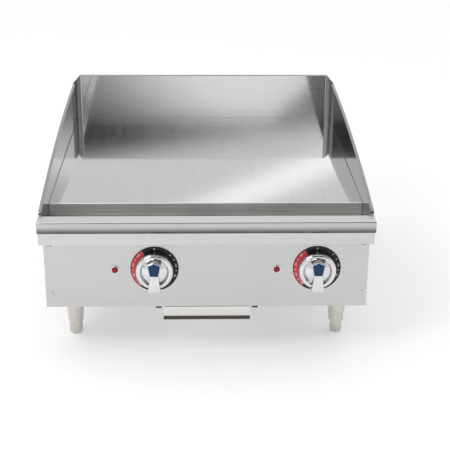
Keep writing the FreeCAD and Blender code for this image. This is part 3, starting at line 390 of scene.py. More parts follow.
LIT_EDGE = 0.3166             # lit screen above the dark one, with a slanting edge
LIT_EDGE_SLOPE = 0.17
LIT_SOFTNESS = 0.004
LIT_START = 0.50
LIT_LEVEL = 1.28
LIT_RISE = 0.020

DIM_LEVEL = 0.11              # beside and above the lit screen
DIM_START = (0.17, 0.24)
DIM_SIDES = (0.18, 0.25)
DIM_ABOVE = (0.36, 0.40)
DIM_END = (0.90, 1.25)
CAP_LEVEL = 0.06              # unlit ceiling in front, which only curved chrome mirrors
CAP_START = (0.46, 0.56)
CAP_END = (0.90, 0.96)

STRIPE_HEIGHT = 0.399         # slanting bright stripe
STRIPE_SLOPE = 0.443
STRIPE_WIDTH = 0.028
STRIPE_GAIN = 0.55
REAR_STRIPE = 1.40
REAR_LEVEL = 0.85
REAR_TOP = (0.42, 0.50)
REAR_START = (0.35, 0.55)
FRONT_END = (-0.30, -0.12)
LEAST_RUN = 0.05              # keeps straight up and sideways finite


def make_room():
    """Pale studio with dark and lit screens at the front and a slanting stripe behind."""
    world = bpy.data.worlds.new("studio")
    bpy.context.scene.world = world
    world.use_nodes = True
    tree = world.node_tree
    background = tree.nodes["Background"]
    direction = put(tree, "ShaderNodeTexCoord").outputs["Generated"]
    x, y, z = put(tree, "ShaderNodeSeparateXYZ", Vector=direction).outputs
    run = maths(tree, "MAXIMUM", maths(tree, "ABSOLUTE", y), LEAST_RUN)
    across = maths(tree, "DIVIDE", x, run)
    aside = maths(tree, "ABSOLUTE", across)
    height = maths(tree, "DIVIDE", z, run)

    dark = mixed(tree, ramp(tree, height, *SHADE_FOOT), SHADE_LEVEL,
                 ramp(tree, height, *SHADE_TOP, SHADE_LOW, SHADE_LEVEL))
    lean = maths(tree, "MULTIPLY", maths(tree, "SUBTRACT", height, OPENING_PIVOT), OPENING_LEAN)
    opening = maths(tree, "MULTIPLY", ramp(tree, maths(tree, "SUBTRACT", across, lean), *OPENING_LEFT),
                    ramp(tree, maths(tree, "ADD", across, lean), *OPENING_RIGHT, 1.0, 0.0))
    opening = maths(tree, "MULTIPLY", opening, ramp(tree, height, *SHADE_FOOT))
    dark = mixed(tree, opening, dark, ramp(tree, height, *SHADE_TOP, OPENING_LOW, OPENING_HIGH))

    slant = maths(tree, "ADD", height, maths(tree, "MULTIPLY", across, STRIPE_SLOPE))
    offset = maths(tree, "ABSOLUTE", maths(tree, "SUBTRACT", slant, STRIPE_HEIGHT))
    edge = maths(tree, "ADD", height, maths(tree, "MULTIPLY", across, LIT_EDGE_SLOPE))
    lit = ramp(tree, edge, LIT_EDGE, LIT_EDGE + LIT_RISE, LIT_START, LIT_LEVEL)
    lit = maths(tree, "ADD", lit, ramp(tree, offset, 0.0, STRIPE_WIDTH, STRIPE_GAIN, 0.0))
    front = mixed(tree, ramp(tree, edge, LIT_EDGE - LIT_SOFTNESS, LIT_EDGE + LIT_SOFTNESS), dark, lit)

    dim = ramp(tree, height, *DIM_START, SHADE_LEVEL, DIM_LEVEL)
    cap = maths(tree, "MULTIPLY", ramp(tree, z, *CAP_START), ramp(tree, z, *CAP_END, 1.0, 0.0))
    front = mixed(tree, ramp(tree, height, *DIM_ABOVE), front, dim)
    front = mixed(tree, ramp(tree, aside, *DIM_SIDES), front, dim)
    front = mixed(tree, ramp(tree, height, *DIM_END), front, ROOM_LEVEL)
    front = mixed(tree, ramp(tree, aside, *PATTERN_SPAN), front, PLAIN_LEVEL)
    front = mixed(tree, ramp(tree, height, *PATTERN_FOOT), PLAIN_LEVEL, front)
    front = mixed(tree, cap, front, CAP_LEVEL)

    rear = ramp(tree, offset, 0.0, STRIPE_WIDTH, REAR_STRIPE, REAR_LEVEL)
    rear = mixed(tree, ramp(tree, height, *REAR_TOP), rear, ROOM_LEVEL)
    level = mixed(tree, ramp(tree, y, *REAR_START), ROOM_LEVEL, rear)
    level = mixed(tree, ramp(tree, y, *FRONT_END), front, level)
    camera_ray = put(tree, "ShaderNodeLightPath").outputs["Is Camera Ray"]
    tree.links.new(mixed(tree, camera_ray, level, 1.0), background.inputs["Strength"])
    background.inputs["Color"].default_value = (1, 1, 1, 1)


# ---- piece helpers ----------------------------------------------------------
def body_of(node):
    """Body that a CAD node moves with."""
    return nodes[node]["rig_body"]


def link_piece(name, mesh, materials):
    """Object in the scene with its mesh and materials."""
    piece = bpy.data.objects.new(name, mesh)
    bpy.context.scene.collection.objects.link(piece)
    for material in materials:
        mesh.materials.append(material)
    return piece


def piece_from(name, bm, materials, sharp=35.0):
    """Object from a bmesh, smooth shaded up to the sharp angle."""
    bmesh.ops.recalc_face_normals(bm, faces=bm.faces)
    mesh = bpy.data.meshes.new(name)
    bm.to_mesh(mesh)
    bm.free()
    mesh.shade_smooth()
    mesh.set_sharp_from_angle(angle=math.radians(sharp))
    return link_piece(name, mesh, materials)


def stands_for(piece, node):
    """The piece takes a CAD node's place: its body, slot and collision stay the node's."""
    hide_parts(node)
    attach(piece, body_of(node))
    return piece


def trim_on(piece, node):
    """An extra piece that moves and is finished with a CAD node."""
    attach(piece, body_of(node))
    return piece


def repaint(piece, material, chosen):
    """Give the chosen faces a further material."""
    piece.data.materials.append(material)
    slot = len(piece.data.materials) - 1
    for face in piece.data.polygons:
        if chosen(face):
            face.material_index = slot


def settle(piece):
    """Apply the piece's modifiers to its mesh."""
    graph = bpy.context.evaluated_depsgraph_get()
    mesh = bpy.data.meshes.new_from_object(piece.evaluated_get(graph))
    piece.modifiers.clear()
    piece.data = mesh
    return piece


def softened(node, width, material, edge=None, segments=3, prefix="soft_"):
    """A node's own shape with its sharp edges rounded off; the rounding may have its own material."""
    bm = bmesh.new()
    bm.from_mesh(nodes[node].data)
    bmesh.ops.remove_doubles(bm, verts=bm.verts, dist=2e-6)
    bmesh.ops.dissolve_limit(bm, angle_limit=math.radians(0.6), verts=bm.verts, edges=bm.edges)
    mesh = bpy.data.meshes.new(prefix + node)
    bm.to_mesh(mesh)
    bm.free()
    for polygon in mesh.polygons:
        polygon.material_index = 0
    mesh.shade_smooth()
    mesh.materials.clear()
    piece = link_piece(prefix + node, mesh, [material, edge or material])
    bevel = piece.modifiers.new("rounding", "BEVEL")
    bevel.width = width
    bevel.segments = segments
    bevel.limit_method = "ANGLE"
    bevel.angle_limit = math.radians(40)
    bevel.use_clamp_overlap = True
    bevel.material = 1
    weighted = piece.modifiers.new("flat_faces", "WEIGHTED_NORMAL")
    weighted.weight = 100
    weighted.keep_sharp = True
    return stands_for(settle(piece), node)


def skin(bm, rings, steps):
    """Faces between neighbouring rings; a ring of one vertex closes to a point."""
    for low, high in zip(rings, rings[1:]):
        for k in range(steps):
            corners = [low[k % len(low)], low[(k + 1) % len(low)],
                       high[(k + 1) % len(high)], high[k % len(high)]]
            bm.faces.new(list(dict.fromkeys(corners)))


def lathe(name, profile, place, axis, materials, steps=64, sharp=35.0):
    """Surface of revolution; the profile holds (radius, distance along the axis) in millimetres."""
    bm = bmesh.new()
    rings = []
    for radius, along in profile:
        if radius == 0:
            rings.append([bm.verts.new((0, 0, along * MM))])
        else:
            rings.append([bm.verts.new((radius * MM * math.cos(2 * math.pi * k / steps),
                                        radius * MM * math.sin(2 * math.pi * k / steps), along * MM))
                          for k in range(steps)])
    skin(bm, rings, steps)
    turn = Vector((0, 0, 1)).rotation_difference(Vector(axis)).to_matrix().to_4x4()
    bm.transform(Matrix.Translation(place) @ turn)
    return piece_from(name, bm, materials, sharp)


def arc_points(centre, radius, start, end, count):
    """Profile points along an arc, with angles in degrees from the outward direction."""
    turns = [math.radians(start + (end - start) * k / count) for k in range(count + 1)]
    return [(centre[0] + radius * math.cos(t), centre[1] + radius * math.sin(t)) for t in turns]


# ---- knobs and dials --------------------------------------------------------
# Sizes are in millimetres; each of the levels is how far an outline grows, then its reach.
KNOB_RADIUS = 34.5
KNOB_FACE = 32.0
SKIRT_BACK = 1.9
DOME_RADIUS = 42.0
DOME_EDGE = 26.0
DOME_LOW = 14.9
RIM_REACH = 13.5
SHOULDER = (29.0, 14.6, 5.2)
GRIP_PEAK = 25.0
GRIP_LEVELS = ((0.9, 12.0), (0.7, 18.0), (0.4, 22.0), (0.2, 26.0), (0.0, 29.8), (-0.2, 30.8), (-0.5, 31.5),
               (-0.9, 31.9), (-1.4, KNOB_FACE))
GRIP_WIDTHS = ((19.8, 12.7), (13.0, 11.6), (5.0, 10.0), (-4.0, 8.8), (-14.0, 9.1),
               (-24.0, 10.3), (-33.0, 11.8))
INSERT_CORNERS = ((8.2, -2.0), (11.7, 19.0), (0.0, 24.0))
INSERT_MIDDLE = 9.0
INSERT_RIM_LEVELS = ((0.0, 30.85), (0.0, 31.9), (-0.5, 32.0), (-0.9, 31.75))
INSERT_FACE_LEVELS = ((-0.9, 31.6), (-0.95, 31.8), (-2.4, 31.95))
POCKET_LEVELS = ((0.15, 30.8), (0.15, 34.0))
DIAL_RADIUS = 44.0
DIAL_FACE = 1.42
RED_START, RED_END = 122.0, 234.0
DIAL_FIGURES = (("0", 90), ("150", 10), ("200", -20), ("250", 228), ("300", 198), ("350", 168),
                ("400", 138))
DIAL_TICKS = (44, 27, -5, 213, 183, 153)
RED_RADII = (33.0, 42.6)
TICK_RADII = (38.0, 41.2)
TICK_HALF_ANGLE = 0.6
FIGURE_RADIUS = 39.4
FIGURE_SIZE = 4.2
ZERO_SIZE = 5.6
RED_RISE = 0.06
PRINT_RISE = 0.1


def knob_axis(side):
    """Point where a knob's axis meets the panel's face."""
    low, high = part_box("dial_plate_" + side)
    return Vector(((low.x + high.x) / 2, high.y, (low.z + high.z) / 2))


def dome_height(radius):
    """Reach of the skirt's inner dome at a radius, from the panel's face."""
    drop = math.sqrt(DOME_RADIUS ** 2 - radius ** 2) - math.sqrt(DOME_RADIUS ** 2 - DOME_EDGE ** 2)
    return DOME_LOW + drop


def skirt_profile():
    """Steep side, rounded shoulder, shallow groove and a low dome in the middle."""
    radius, reach, round_off = SHOULDER
    side = [(29.0, SKIRT_BACK), (34.1, SKIRT_BACK), (KNOB_RADIUS, 2.4), (KNOB_RADIUS, RIM_REACH)]
    shoulder = arc_points((radius, reach), round_off, 8.0, 125.0, 16)
    dome = [(DOME_EDGE * (1 - k / 12), dome_height(DOME_EDGE * (1 - k / 12))) for k in range(13)]
    return side + shoulder + dome


def grip_outline(offset):
    """Closed outline of the grip bar, grown by an offset, as (x, z) points in millimetres.

    The sides are a Catmull-Rom curve through GRIP_WIDTHS.
    """
    points = [(w + offset, z) for z, w in GRIP_WIDTHS]
    smooth = []
    for (w0, z0), (w1, z1), (w2, z2), (w3, z3) in zip([points[0]] + points, points, points[1:],
                                                      points[2:] + [points[-1]]):
        for k in range(6):
            t = k / 6
            smooth.append(tuple(0.5 * (2 * b + (c - a) * t + (2 * a - 5 * b + 4 * c - d) * t * t
                                       + (3 * b - a - 3 * c + d) * t ** 3)
                                for a, b, c, d in ((w0, w1, w2, w3), (z0, z1, z2, z3))))
    smooth.append(points[-1])
    top, bottom = smooth[0], smooth[-1]
    peak = GRIP_PEAK + offset
    crown = [(top[0] * part, top[1] + (peak - top[1]) * (1 - part)) for part in (0.06, 0.35, 0.65, 0.94)]
    heel = [(bottom[0] * math.cos(t), bottom[1] - (1.2 + offset * 0.5) * math.sin(t))
            for t in (math.radians(a) for a in (15, 30, 45, 60, 75))]
    right = crown + smooth + heel
    return right + [(-x, z) for x, z in right[::-1]]


def ring_stack(name, outline, levels, place, material, sharp=35.0):
    """Skin over an outline's rings of (x, z) points, at the levels' reaches in front of the panel."""
    bm = bmesh.new()
    loops = [[bm.verts.new((place.x + x * MM, place.y - reach * MM, place.z + z * MM)) for x, z in points]
             for points, reach in ((outline(offset), reach) for offset, reach in levels)]
    for low, high in zip(loops, loops[1:]):
        for k in range(len(low)):
            bm.faces.new((low[k], low[k - 1], high[k - 1], high[k]))
    bm.faces.new(loops[0])
    bm.faces.new(loops[-1][::-1])
    return piece_from(name, bm, [material], sharp)


def insert_outline(offset):
    """Rounded outline of the five-sided insert, grown by an offset, about the knob's axis."""
    corners = list(INSERT_CORNERS) + [(-x, z) for x, z in INSERT_CORNERS[1::-1]]
    points = []
    for k, corner in enumerate(corners):
        before, after = corners[k - 1], corners[(k + 1) % len(corners)]
        for step in (0.12, 0.05):
            points.append(tuple(c + (b - c) * step for c, b in zip(corner, before)))
        for step in (0.05, 0.12):
            points.append(tuple(c + (a - c) * step for c, a in zip(corner, after)))
    grown = []
    for x, z in points:
        factor = 1 + offset / math.hypot(x, z - INSERT_MIDDLE)
        grown.append((x * factor, INSERT_MIDDLE + (z - INSERT_MIDDLE) * factor))
    return grown


def make_knob(side, plating, blue, rim):
    """Chrome skirt and grip, and the framed blue insert in the grip's face."""
    node = "knob_" + side
    axis = knob_axis(side)
    skirt = lathe("knob_skirt_" + side, skirt_profile(), axis, (0, -1, 0), [plating], 96)
    grip = ring_stack("knob_" + side + "_grip", grip_outline, GRIP_LEVELS, axis, plating, 60.0)
    pocket = ring_stack("pocket", insert_outline, POCKET_LEVELS, axis, plating)
    cut = grip.modifiers.new("pocket", "BOOLEAN")
    cut.operation = "DIFFERENCE"
    cut.object = pocket
    settle(grip)
    bpy.data.objects.remove(pocket)
    for piece in (skirt, grip):
        stands_for(piece, node)
    for part, levels, material in (("rim", INSERT_RIM_LEVELS, rim), ("face", INSERT_FACE_LEVELS, blue)):
        stands_for(ring_stack("knob_insert_%s_%s" % (part, side), insert_outline, levels, axis, material),
                   "knob_insert_" + side)


def polar(axis, radius, degrees, reach):
    """Point on a dial; 90 degrees is at the top and angles grow to the left."""
    turn = math.radians(degrees)
    return Vector((axis.x + radius * MM * math.cos(turn), axis.y - reach * MM,
                   axis.z + radius * MM * math.sin(turn)))


def dial_band(name, axis, radii, start, end, rise, material):
    """Curved band printed on the dial between two radii, as a thin raised strip."""
    inner, outer = radii
    steps = max(2, int(abs(end - start) / 3))
    bm = bmesh.new()
    rows = []
    for k in range(steps + 1):
        angle = start + (end - start) * k / steps
        rows.append([bm.verts.new(polar(axis, radius, angle, reach))
                     for radius, reach in ((inner, DIAL_FACE), (outer, DIAL_FACE),
                                           (outer, DIAL_FACE + rise), (inner, DIAL_FACE + rise))])
    for low, high in zip(rows, rows[1:]):
        for k in range(4):
            bm.faces.new((low[k], low[(k + 1) % 4], high[(k + 1) % 4], high[k]))
    bm.faces.new(rows[0])
    bm.faces.new(rows[-1][::-1])
    return piece_from(name, bm, [material])


def dial_figure(name, text, axis, degrees, size, material):
    """Generic figure printed on the dial, upright along the scale."""
    curve = bpy.data.curves.new(name, "FONT")
    curve.body = text
    curve.align_x, curve.align_y = "CENTER", "CENTER"
    curve.size = size * MM
    curve.extrude = 0.05 * MM
    curve.resolution_u = 3
    figure = bpy.data.objects.new(name, curve)
    bpy.context.scene.collection.objects.link(figure)
    place = polar(axis, FIGURE_RADIUS, degrees, DIAL_FACE + PRINT_RISE)
    facing = Matrix.Rotation(math.radians(90), 4, "X")
    turn = Matrix.Rotation(math.radians(degrees - 90), 4, "Z")
    bpy.context.view_layer.update()
    mesh = bpy.data.meshes.new_from_object(figure.evaluated_get(bpy.context.evaluated_depsgraph_get()))
    mesh.transform(Matrix.Translation(place) @ facing @ turn)
    bpy.data.objects.remove(figure)
    mesh.materials.clear()
    return link_piece(name, mesh, [material])


def make_dial(side, enamel, red, white):
    """Enamelled disc with a red band, generic figures and ticks."""
    node = "dial_plate_" + side
    axis = knob_axis(side)
    edge = arc_points((DIAL_RADIUS - 0.9, 0.55), 0.9, 0.0, 90.0, 6)
    profile = [(4.9, 0.05), (DIAL_RADIUS, 0.05)] + edge
    profile += [(32.5, DIAL_FACE), (32.0, 1.2), (20.0, 1.2), (4.9, 1.2)]
    stands_for(lathe("dial_disc_" + side, profile, axis, (0, -1, 0), [enamel], 120), node)
    trims = [dial_band("dial_red_" + side, axis, RED_RADII, RED_START, RED_END, RED_RISE, red)]
    for k, (text, degrees) in enumerate(DIAL_FIGURES):
        trims.append(dial_figure("dial_figure_%s_%d" % (side, k), text, axis, degrees,
                                 ZERO_SIZE if text == "0" else FIGURE_SIZE, white))
    for k, degrees in enumerate(DIAL_TICKS):
        trims.append(dial_band("dial_tick_%s_%d" % (side, k), axis, TICK_RADII, degrees - TICK_HALF_ANGLE,
                               degrees + TICK_HALF_ANGLE, PRINT_RISE, white))
    for trim in trims:
        trim_on(trim, node)


# ---- lamps, screws, legs ----------------------------------------------------
LAMP_BEZEL = ([(7.9, 0.0), (7.9, 0.6)] + arc_points((6.9, 1.4), 1.0, 0.0, 150.0, 8)
              + [(5.75, 1.2), (5.75, 0.0)])
LAMP_BODY = [(0.0, -32.0), (3.5, -32.0), (3.5, -24.0), (6.4, -24.0), (6.4, -1.6), (5.75, -1.5),
             (5.75, 0.5), (0, 0.5)]
JEWEL_FACETS = 16
JEWEL_LEVELS = ((5.65, 0.6, 0), (5.65, 2.2, 0), (4.6, 3.0, 0.5), (2.4, 3.5, 0))  # radius, reach, turn


def make_lamp(side, plating, red):
    """Bezel, body and faceted red lens of one pilot lamp; a jewel level's turn is in facets."""
    low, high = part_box("lamp_housing_" + side)
    place = Vector(((low.x + high.x) / 2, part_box("control_panel")[0].y, (low.z + high.z) / 2))
    for part, profile, steps in (("bezel_", LAMP_BEZEL, 64), ("body_", LAMP_BODY, 32)):
        stands_for(lathe("lamp_" + part + side, profile, place, (0, -1, 0), [plating], steps),
                   "lamp_housing_" + side)
    bm = bmesh.new()
    rings = []
    for radius, reach, shift in JEWEL_LEVELS:
        turns = [2 * math.pi * (k + shift) / JEWEL_FACETS for k in range(JEWEL_FACETS)]
        rings.append([bm.verts.new((place.x + radius * MM * math.cos(t), place.y - reach * MM,
                                    place.z + radius * MM * math.sin(t))) for t in turns])
    for lower, upper in zip(rings, rings[1:]):
        for k in range(JEWEL_FACETS):
            bm.faces.new((lower[k - 1], lower[k], upper[k], upper[k - 1]))
    bm.faces.new(rings[0][::-1])
    bm.faces.new(rings[-1])
    stands_for(piece_from("lamp_jewel_" + side, bm, [red], 12.0), "lamp_lens_" + side)


SCREW_HEAD_RADIUS = 3.75
SCREW_HEAD_HEIGHT = 1.95
SCREW_SHANK = 9.0
RECESS_SIZE = (4.2 * MM, 0.9 * MM, 1.8 * MM, 1.0)


def screw_mesh():
    """Pan-head screw with a cross recess, along +Z from its seat at the origin."""
    profile = [(0.0, -SCREW_SHANK), (1.5, -SCREW_SHANK), (1.95, -SCREW_SHANK + 1), (1.95, 0.0),
               (SCREW_HEAD_RADIUS, 0.0), (SCREW_HEAD_RADIUS, 0.45)]
    profile += arc_points((SCREW_HEAD_RADIUS - 1.5, 0.45), 1.5, 0.0, 90.0, 6) + [(0.0, SCREW_HEAD_HEIGHT)]
    screw = lathe("screw", profile, Vector(), (0, 0, 1), [], 32)
    for k in range(2):
        bm = bmesh.new()
        bmesh.ops.create_cube(bm, size=1.0, matrix=Matrix.Rotation(k * math.pi / 2, 4, "Z")
                              @ Matrix.Diagonal(RECESS_SIZE))
        bm.transform(Matrix.Translation((0, 0, SCREW_HEAD_HEIGHT * MM)))
        slot = piece_from("slot", bm, [])
        cut = screw.modifiers.new("recess", "BOOLEAN")
        cut.operation = "DIFFERENCE"
        cut.object = slot
        settle(screw)
        bpy.data.objects.remove(slot)
    mesh = screw.data
    bpy.data.objects.remove(screw)
    return mesh


def make_screws(name, places, axis, material, template, spin):
    """The screws at the given places as one piece, each turned on by spin radians."""
    bm = bmesh.new()
    turn = Vector((0, 0, 1)).rotation_difference(Vector(axis)).to_matrix().to_4x4()
    for k, place in enumerate(places):
        part = template.copy()
        part.transform(Matrix.Translation(place) @ turn @ Matrix.Rotation(spin * (k + 1), 4, "Z"))
        bm.from_mesh(part)
        bpy.data.meshes.remove(part)
    mesh = bpy.data.meshes.new(name + "_heads")
    bm.to_mesh(mesh)
    bm.free()
    mesh.materials.clear()
    mesh.shade_smooth()
    mesh.set_sharp_from_angle(angle=math.radians(35))
    return link_piece(mesh.name, mesh, [material])


def loose_boxes(node):
    """Lowest and highest corner of each of a node's separate solids."""
    bm = bmesh.new()
    bm.from_mesh(nodes[node].data)
    bmesh.ops.remove_doubles(bm, verts=bm.verts, dist=2e-6)
    bm.verts.ensure_lookup_table()
    seen, boxes = set(), []
    for start in bm.verts:
        if start.index in seen:
            continue
        island, stack = [], [start]
        seen.add(start.index)
        while stack:
            vertex = stack.pop()
            island.append(vertex.co.copy())
            for edge in vertex.link_edges:
                other = edge.other_vert(vertex)
                if other.index not in seen:
                    seen.add(other.index)
                    stack.append(other)
        low = Vector(min(c[i] for c in island) for i in range(3))
        high = Vector(max(c[i] for c in island) for i in range(3))
        boxes.append((low, high))
    bm.free()
    return boxes


STEM_START = 24.0
FOOT_SIDES = 6
FOOT_STEPS = 48
FOOT_SPIN = {"left": 0.15, "right": 0.42}
FOOT_LEVELS = ((0.0, 0.0), (9.5, 0.0), (11.4, 0.9), (12.5, 2.6), (12.9, 5.0), (12.9, 22.5), (12.2, 24.3),
               (8.0, 24.6), (4.7, 24.6), (4.7, 72.0), (0.0, 73.0))    # radius, height
LEAST_HEX_RADIUS = 8.5
HEX_GROWTH = 1.035            # the flats stop short of the corners, which stay round


def leg_place(end, side):
    """Point on the counter under a leg's middle."""
    low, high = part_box("leg_%s_%s" % (end, side))
    return Vector(((low.x + high.x) / 2, (low.y + high.y) / 2, 0.0))


def make_leg(end, side, metal):
    """Tapered leg under the base pan, with its stud."""
    node = "leg_%s_%s" % (end, side)
    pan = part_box("base_pan")[0].z / MM
    profile = [(5.2, 27.0), (12.9, 27.0), (13.6, 25.6)] + arc_points((13.7, 26.4), 0.9, -60.0, 10.0, 4)
    profile += [(15.2, 36.0), (16.6, 54.0), (18.1, 73.0), (19.4, 90.0), (20.0, 96.5)]
    profile += arc_points((19.4, pan - 1.4), 1.1, -10.0, 90.0, 5)
    profile += [(4.7, pan - 0.3), (4.7, pan + 15.0), (0, pan + 15.4)]
    stands_for(lathe("shell_" + node, profile, leg_place(end, side), (0, 0, 1), [metal], 72), node)


def make_foot(end, side, metal, stem_metal):
    """Foot with a hexagonal grip, and the stem that screws into the leg."""
    node = "foot_%s_%s" % (end, side)
    place = leg_place(end, side)
    bm = bmesh.new()
    rings = []
    for radius, height in FOOT_LEVELS:
        if radius == 0.0:
            rings.append([bm.verts.new((place.x, place.y, height * MM))])
            continue
        ring = []
        for k in range(FOOT_STEPS):
            angle = 2 * math.pi * k / FOOT_STEPS
            phase = (angle - FOOT_SPIN[side]) % (2 * math.pi / FOOT_SIDES) - math.pi / FOOT_SIDES
            flat = math.cos(math.pi / FOOT_SIDES) / math.cos(phase) * HEX_GROWTH
            reach = radius * (min(1.0, flat) if radius > LEAST_HEX_RADIUS else 1.0)
            ring.append(bm.verts.new((place.x + reach * MM * math.cos(angle),
                                      place.y + reach * MM * math.sin(angle), height * MM)))
        rings.append(ring)
    skin(bm, rings, FOOT_STEPS)
    piece = piece_from("hex_" + node, bm, [metal], 28.0)
    repaint(piece, stem_metal, lambda face: face.center.z > STEM_START * MM)
    stands_for(piece, node)


# ---- build ------------------------------------------------------------------
make_camera()
make_floor()
make_room()
make_key_light()
bpy.context.scene.view_settings.view_transform = "Standard"

PLATE = ground_plate()
GUARD = brushed_steel("guard_steel", (0.62, 0.62, 0.615), 0.06, "x", 0.3, seed=2.0, contrast=0.035,
                      depth=0.03, glancing=0.85)
NOSING = brushed_steel("nosing_steel", (0.57, 0.57, 0.575), 0.22, "x", 0.5, seed=4.0)
PANEL = brushed_steel("panel_steel", (0.55, 0.55, 0.545), 0.34, "x", 0.5, seed=5.0, waviness=0.02)
SIDE = brushed_steel("side_steel", (0.56, 0.56, 0.555), 0.34, "y", 0.5, seed=6.0, waviness=0.02)
REAR = brushed_steel("rear_steel", (0.57, 0.57, 0.565), 0.36, "x", 0.3, seed=7.0, contrast=0.08)
BASE = brushed_steel("base_steel", (0.52, 0.53, 0.54), 0.42, "x", 0.2, seed=7.5, contrast=0.1)
TROUGH = brushed_steel("trough_steel", (0.60, 0.595, 0.58), 0.42, "x", 0.6, seed=8.0, contrast=0.22,
                       smudge=0.3)
DRAWER = brushed_steel("drawer_steel", (0.74, 0.73, 0.71), 0.36, "x", 0.5, seed=9.0)
RAIL = moulded("rail_steel", (0.10, 0.095, 0.09), 0.45, metallic=1.0)
EDGE = nicked_edge("sheet_edge", (0.62, 0.62, 0.62), 0.32)
# painted shade: dark tone for the guard's upward-facing hem
HEM_SHADE = nicked_edge("hem_shade", (0.27, 0.27, 0.265), 0.28)
# painted shade: dark tone for the guard's inner corner bends
BEND_SHADE = nicked_edge("corner_bend_shade", (0.30, 0.295, 0.285), 0.35)
# painted shade: the nose roll's colour darkens towards its underside
ROLL_SHADE = painted_shade_roll("nosing_roll", (0.52, 0.525, 0.53), (0.125, 0.13, 0.135), 0.34, (0.254, 0.268))
# painted light: front face of the plate made paler than the plate to lift the shaded slot
PLATE_FRONT_LIT = brushed_steel("plate_front", (0.72, 0.72, 0.71), 0.5, "x", 0.3, seed=13.0, contrast=0.3, smudge=0.3)
# painted shade: near-black colour on the drawer's turned-under finger pull
PULL_SHADE = moulded("finger_pull_shade", (0.035, 0.027, 0.022), 0.5)
CHROME = chrome("knob_chrome", (0.70, 0.70, 0.715))
LAMP_CHROME = chrome("lamp_chrome", (0.80, 0.80, 0.81), 0.08, 3.0)
ENAMEL = moulded("dial_enamel", (0.010, 0.009, 0.010), 0.22, 600.0, 0.3, 0.06, coat=0.05, specular=0.25)
RED_PRINT = moulded("dial_red", (0.58, 0.035, 0.045), 0.35, 700.0, 0.12, 0.05, coat=0.1)
WHITE_PRINT = moulded("dial_white", (0.78, 0.78, 0.76), 0.4, 900.0, 0.06, 0.05)
BLUE = moulded("insert_blue", (0.004, 0.040, 0.12), 0.22, 300.0, 0.45, 0.05, specular=0.25)
RIM = chrome("insert_rim", (0.60, 0.66, 0.72), 0.2, 8.0)
LENS = moulded("lens_red", (0.26, 0.006, 0.018), 0.3, 250.0, 0.25, 0.02, coat=0.1, specular=0.25)
LEG = moulded("leg_metal", (0.66, 0.63, 0.585), 0.30, 420.0, 0.07, 0.10, metallic=1.0)
FOOT = moulded("foot_metal", (0.60, 0.58, 0.54), 0.24, 420.0, 0.07, 0.10, metallic=1.0)
STEM = threaded("stem_steel", (0.55, 0.54, 0.52), 1.6 * MM)
SCREW = chrome("screw_steel", (0.66, 0.66, 0.66), 0.25, 5.0)
ELEMENT = moulded("element_metal", (0.12, 0.125, 0.12), 0.5, 900.0, 0.25, 0.3, metallic=1.0)
CLAMP = moulded("clamp_steel", (0.26, 0.26, 0.27), 0.45, 300.0, 0.15, 0.2, metallic=1.0)
BLANKET = moulded("insulation", (0.80, 0.77, 0.68), 0.95, 260.0, 0.2, 1.0)
PHENOLIC = moulded("thermostat_body", (0.045, 0.042, 0.04), 0.45, 800.0, 0.3, 0.2)
SHAFT = brushed_steel("shaft_steel", (0.62, 0.60, 0.55), 0.3, "y", 0.4, seed=12.0)
COPPER = moulded("copper_capillary", (0.72, 0.40, 0.27), 0.32, 200.0, 0.18, 0.1, metallic=1.0)
CERAMIC = moulded("terminal_ceramic", (0.80, 0.78, 0.72), 0.6, 400.0, 0.06, 0.2)
SLEEVE = moulded("wire_sleeve", (0.72, 0.70, 0.64), 0.8, 1500.0, 0.2, 0.8)
INLET = moulded("inlet_metal", (0.55, 0.55, 0.55), 0.4, 300.0, 0.1, 0.25, metallic=1.0)

UPRIGHT = 0.7                # least part of a normal along the axis that a face looks along
SLANTED = 0.15               # least part of a normal along both axes on a corner bend
ROLL_BACK = 9.0 * MM
ROLL_TILT = 0.1
ROLL_FACING = 0.08
PULL_TOP = 80.4 * MM
PULL_BACK = 9.0 * MM

plate = softened("griddle_plate", 1.2 * MM, PLATE)
# painted light on the plate's front faces
repaint(plate, PLATE_FRONT_LIT, lambda face: face.normal.y < -UPRIGHT)
guard = softened("splash_guard", 0.7 * MM, GUARD, HEM_SHADE)
guard.data.materials.append(BEND_SHADE)
for face in guard.data.polygons:
    # painted shade on the guard's upward-facing hem faces
    if face.normal.z > UPRIGHT:
        face.material_index = 1
    # painted shade on the guard's slanted corner-bend faces
    elif min(abs(face.normal.x), abs(face.normal.y)) > SLANTED:
        face.material_index = 2
nosing = softened("front_nosing", 0.5 * MM, NOSING)
roll_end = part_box("front_nosing")[0].y + ROLL_BACK
# painted shade on the lower, forward-facing faces of the nose roll
repaint(nosing, ROLL_SHADE, lambda face: (face.center.y < roll_end and face.normal.z < ROLL_TILT
                                    and face.normal.y < -ROLL_FACING))
softened("grease_trough", 0.6 * MM, TROUGH)
softened("control_panel", 0.5 * MM, PANEL, EDGE, segments=2)
for side in SIDES:
    softened("side_panel_" + side, 0.4 * MM, SIDE, EDGE, segments=2)
    softened("drawer_rail_" + side, 0.3 * MM, RAIL, segments=2)
    softened("support_rail_" + side, 0.5 * MM, BASE, segments=2)
softened("rear_panel", 0.4 * MM, REAR, EDGE, segments=2)
softened("base_pan", 0.4 * MM, BASE, segments=2)
softened("heat_shield", 0.3 * MM, BASE, segments=2)
softened("drain_chute", 0.4 * MM, TROUGH, segments=2)
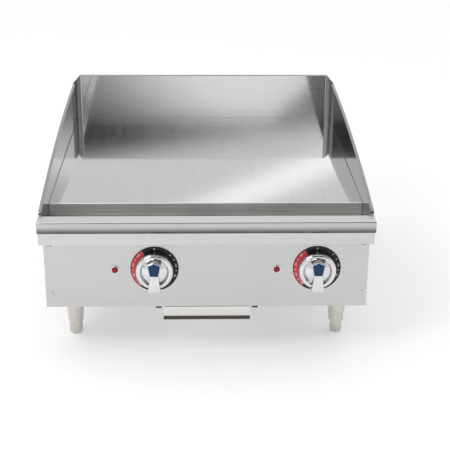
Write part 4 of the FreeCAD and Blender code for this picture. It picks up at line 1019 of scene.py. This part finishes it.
softened("conduit_fitting", 0.6 * MM, INLET)
softened("terminal_block", 0.8 * MM, CERAMIC)
softened("insulation_blanket", 5.0 * MM, BLANKET, segments=4)
softened("clamp_bars", 0.4 * MM, CLAMP)
softened("leg_nuts", 0.6 * MM, SCREW)
softened("thermostat_nuts", 0.4 * MM, SCREW)
drawer = softened("grease_drawer", 0.4 * MM, DRAWER, EDGE, segments=2)
pull_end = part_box("grease_drawer")[0].y + PULL_BACK
# painted shade on the finger pull's faces at the drawer's lower front
repaint(drawer, PULL_SHADE, lambda face: face.center.z < PULL_TOP and face.center.y < pull_end)

for side in SIDES:
    make_knob(side, CHROME, BLUE, RIM)
    make_dial(side, ENAMEL, RED_PRINT, WHITE_PRINT)
    make_lamp(side, LAMP_CHROME, LENS)
    for end in ENDS:
        make_leg(end, side, LEG)
        make_foot(end, side, FOOT, STEM)
    softened("thermostat_" + side, 0.8 * MM, PHENOLIC)

for node, material in (("clamp_studs", SCREW), ("wiring", SLEEVE), ("temperature_sensor_left", COPPER),
                       ("temperature_sensor_right", COPPER), ("heating_element_left", ELEMENT),
                       ("heating_element_right", ELEMENT), ("thermostat_shaft_left", SHAFT),
                       ("thermostat_shaft_right", SHAFT)):
    nodes[node].data.materials.clear()
    nodes[node].data.materials.append(material)
    nodes[node].data.shade_smooth()
    nodes[node].data.set_sharp_from_angle(angle=math.radians(35))

template = screw_mesh()
side_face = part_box("side_panel_right")[1].x
for node, suffix, axis, seat, spin in (
        ("control_panel_screws", "", (0, -1, 0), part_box("control_panel")[0].y, 0.7),
        ("rear_panel_screws", "", (0, 1, 0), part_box("rear_panel")[1].y, 0.9),
        ("side_panel_screws", "_left", (-1, 0, 0), -side_face, 1.3),
        ("side_panel_screws", "_right", (1, 0, 0), side_face, 1.3)):
    places = []
    for low, high in loose_boxes(node):
        middle = (low + high) / 2
        if axis[0] == 0:
            places.append(Vector((middle.x, seat, middle.z)))
        elif middle.x * axis[0] > 0:
            places.append(Vector((seat, middle.y, middle.z)))
    stands_for(make_screws(node + suffix, places, axis, SCREW, template, spin), node)
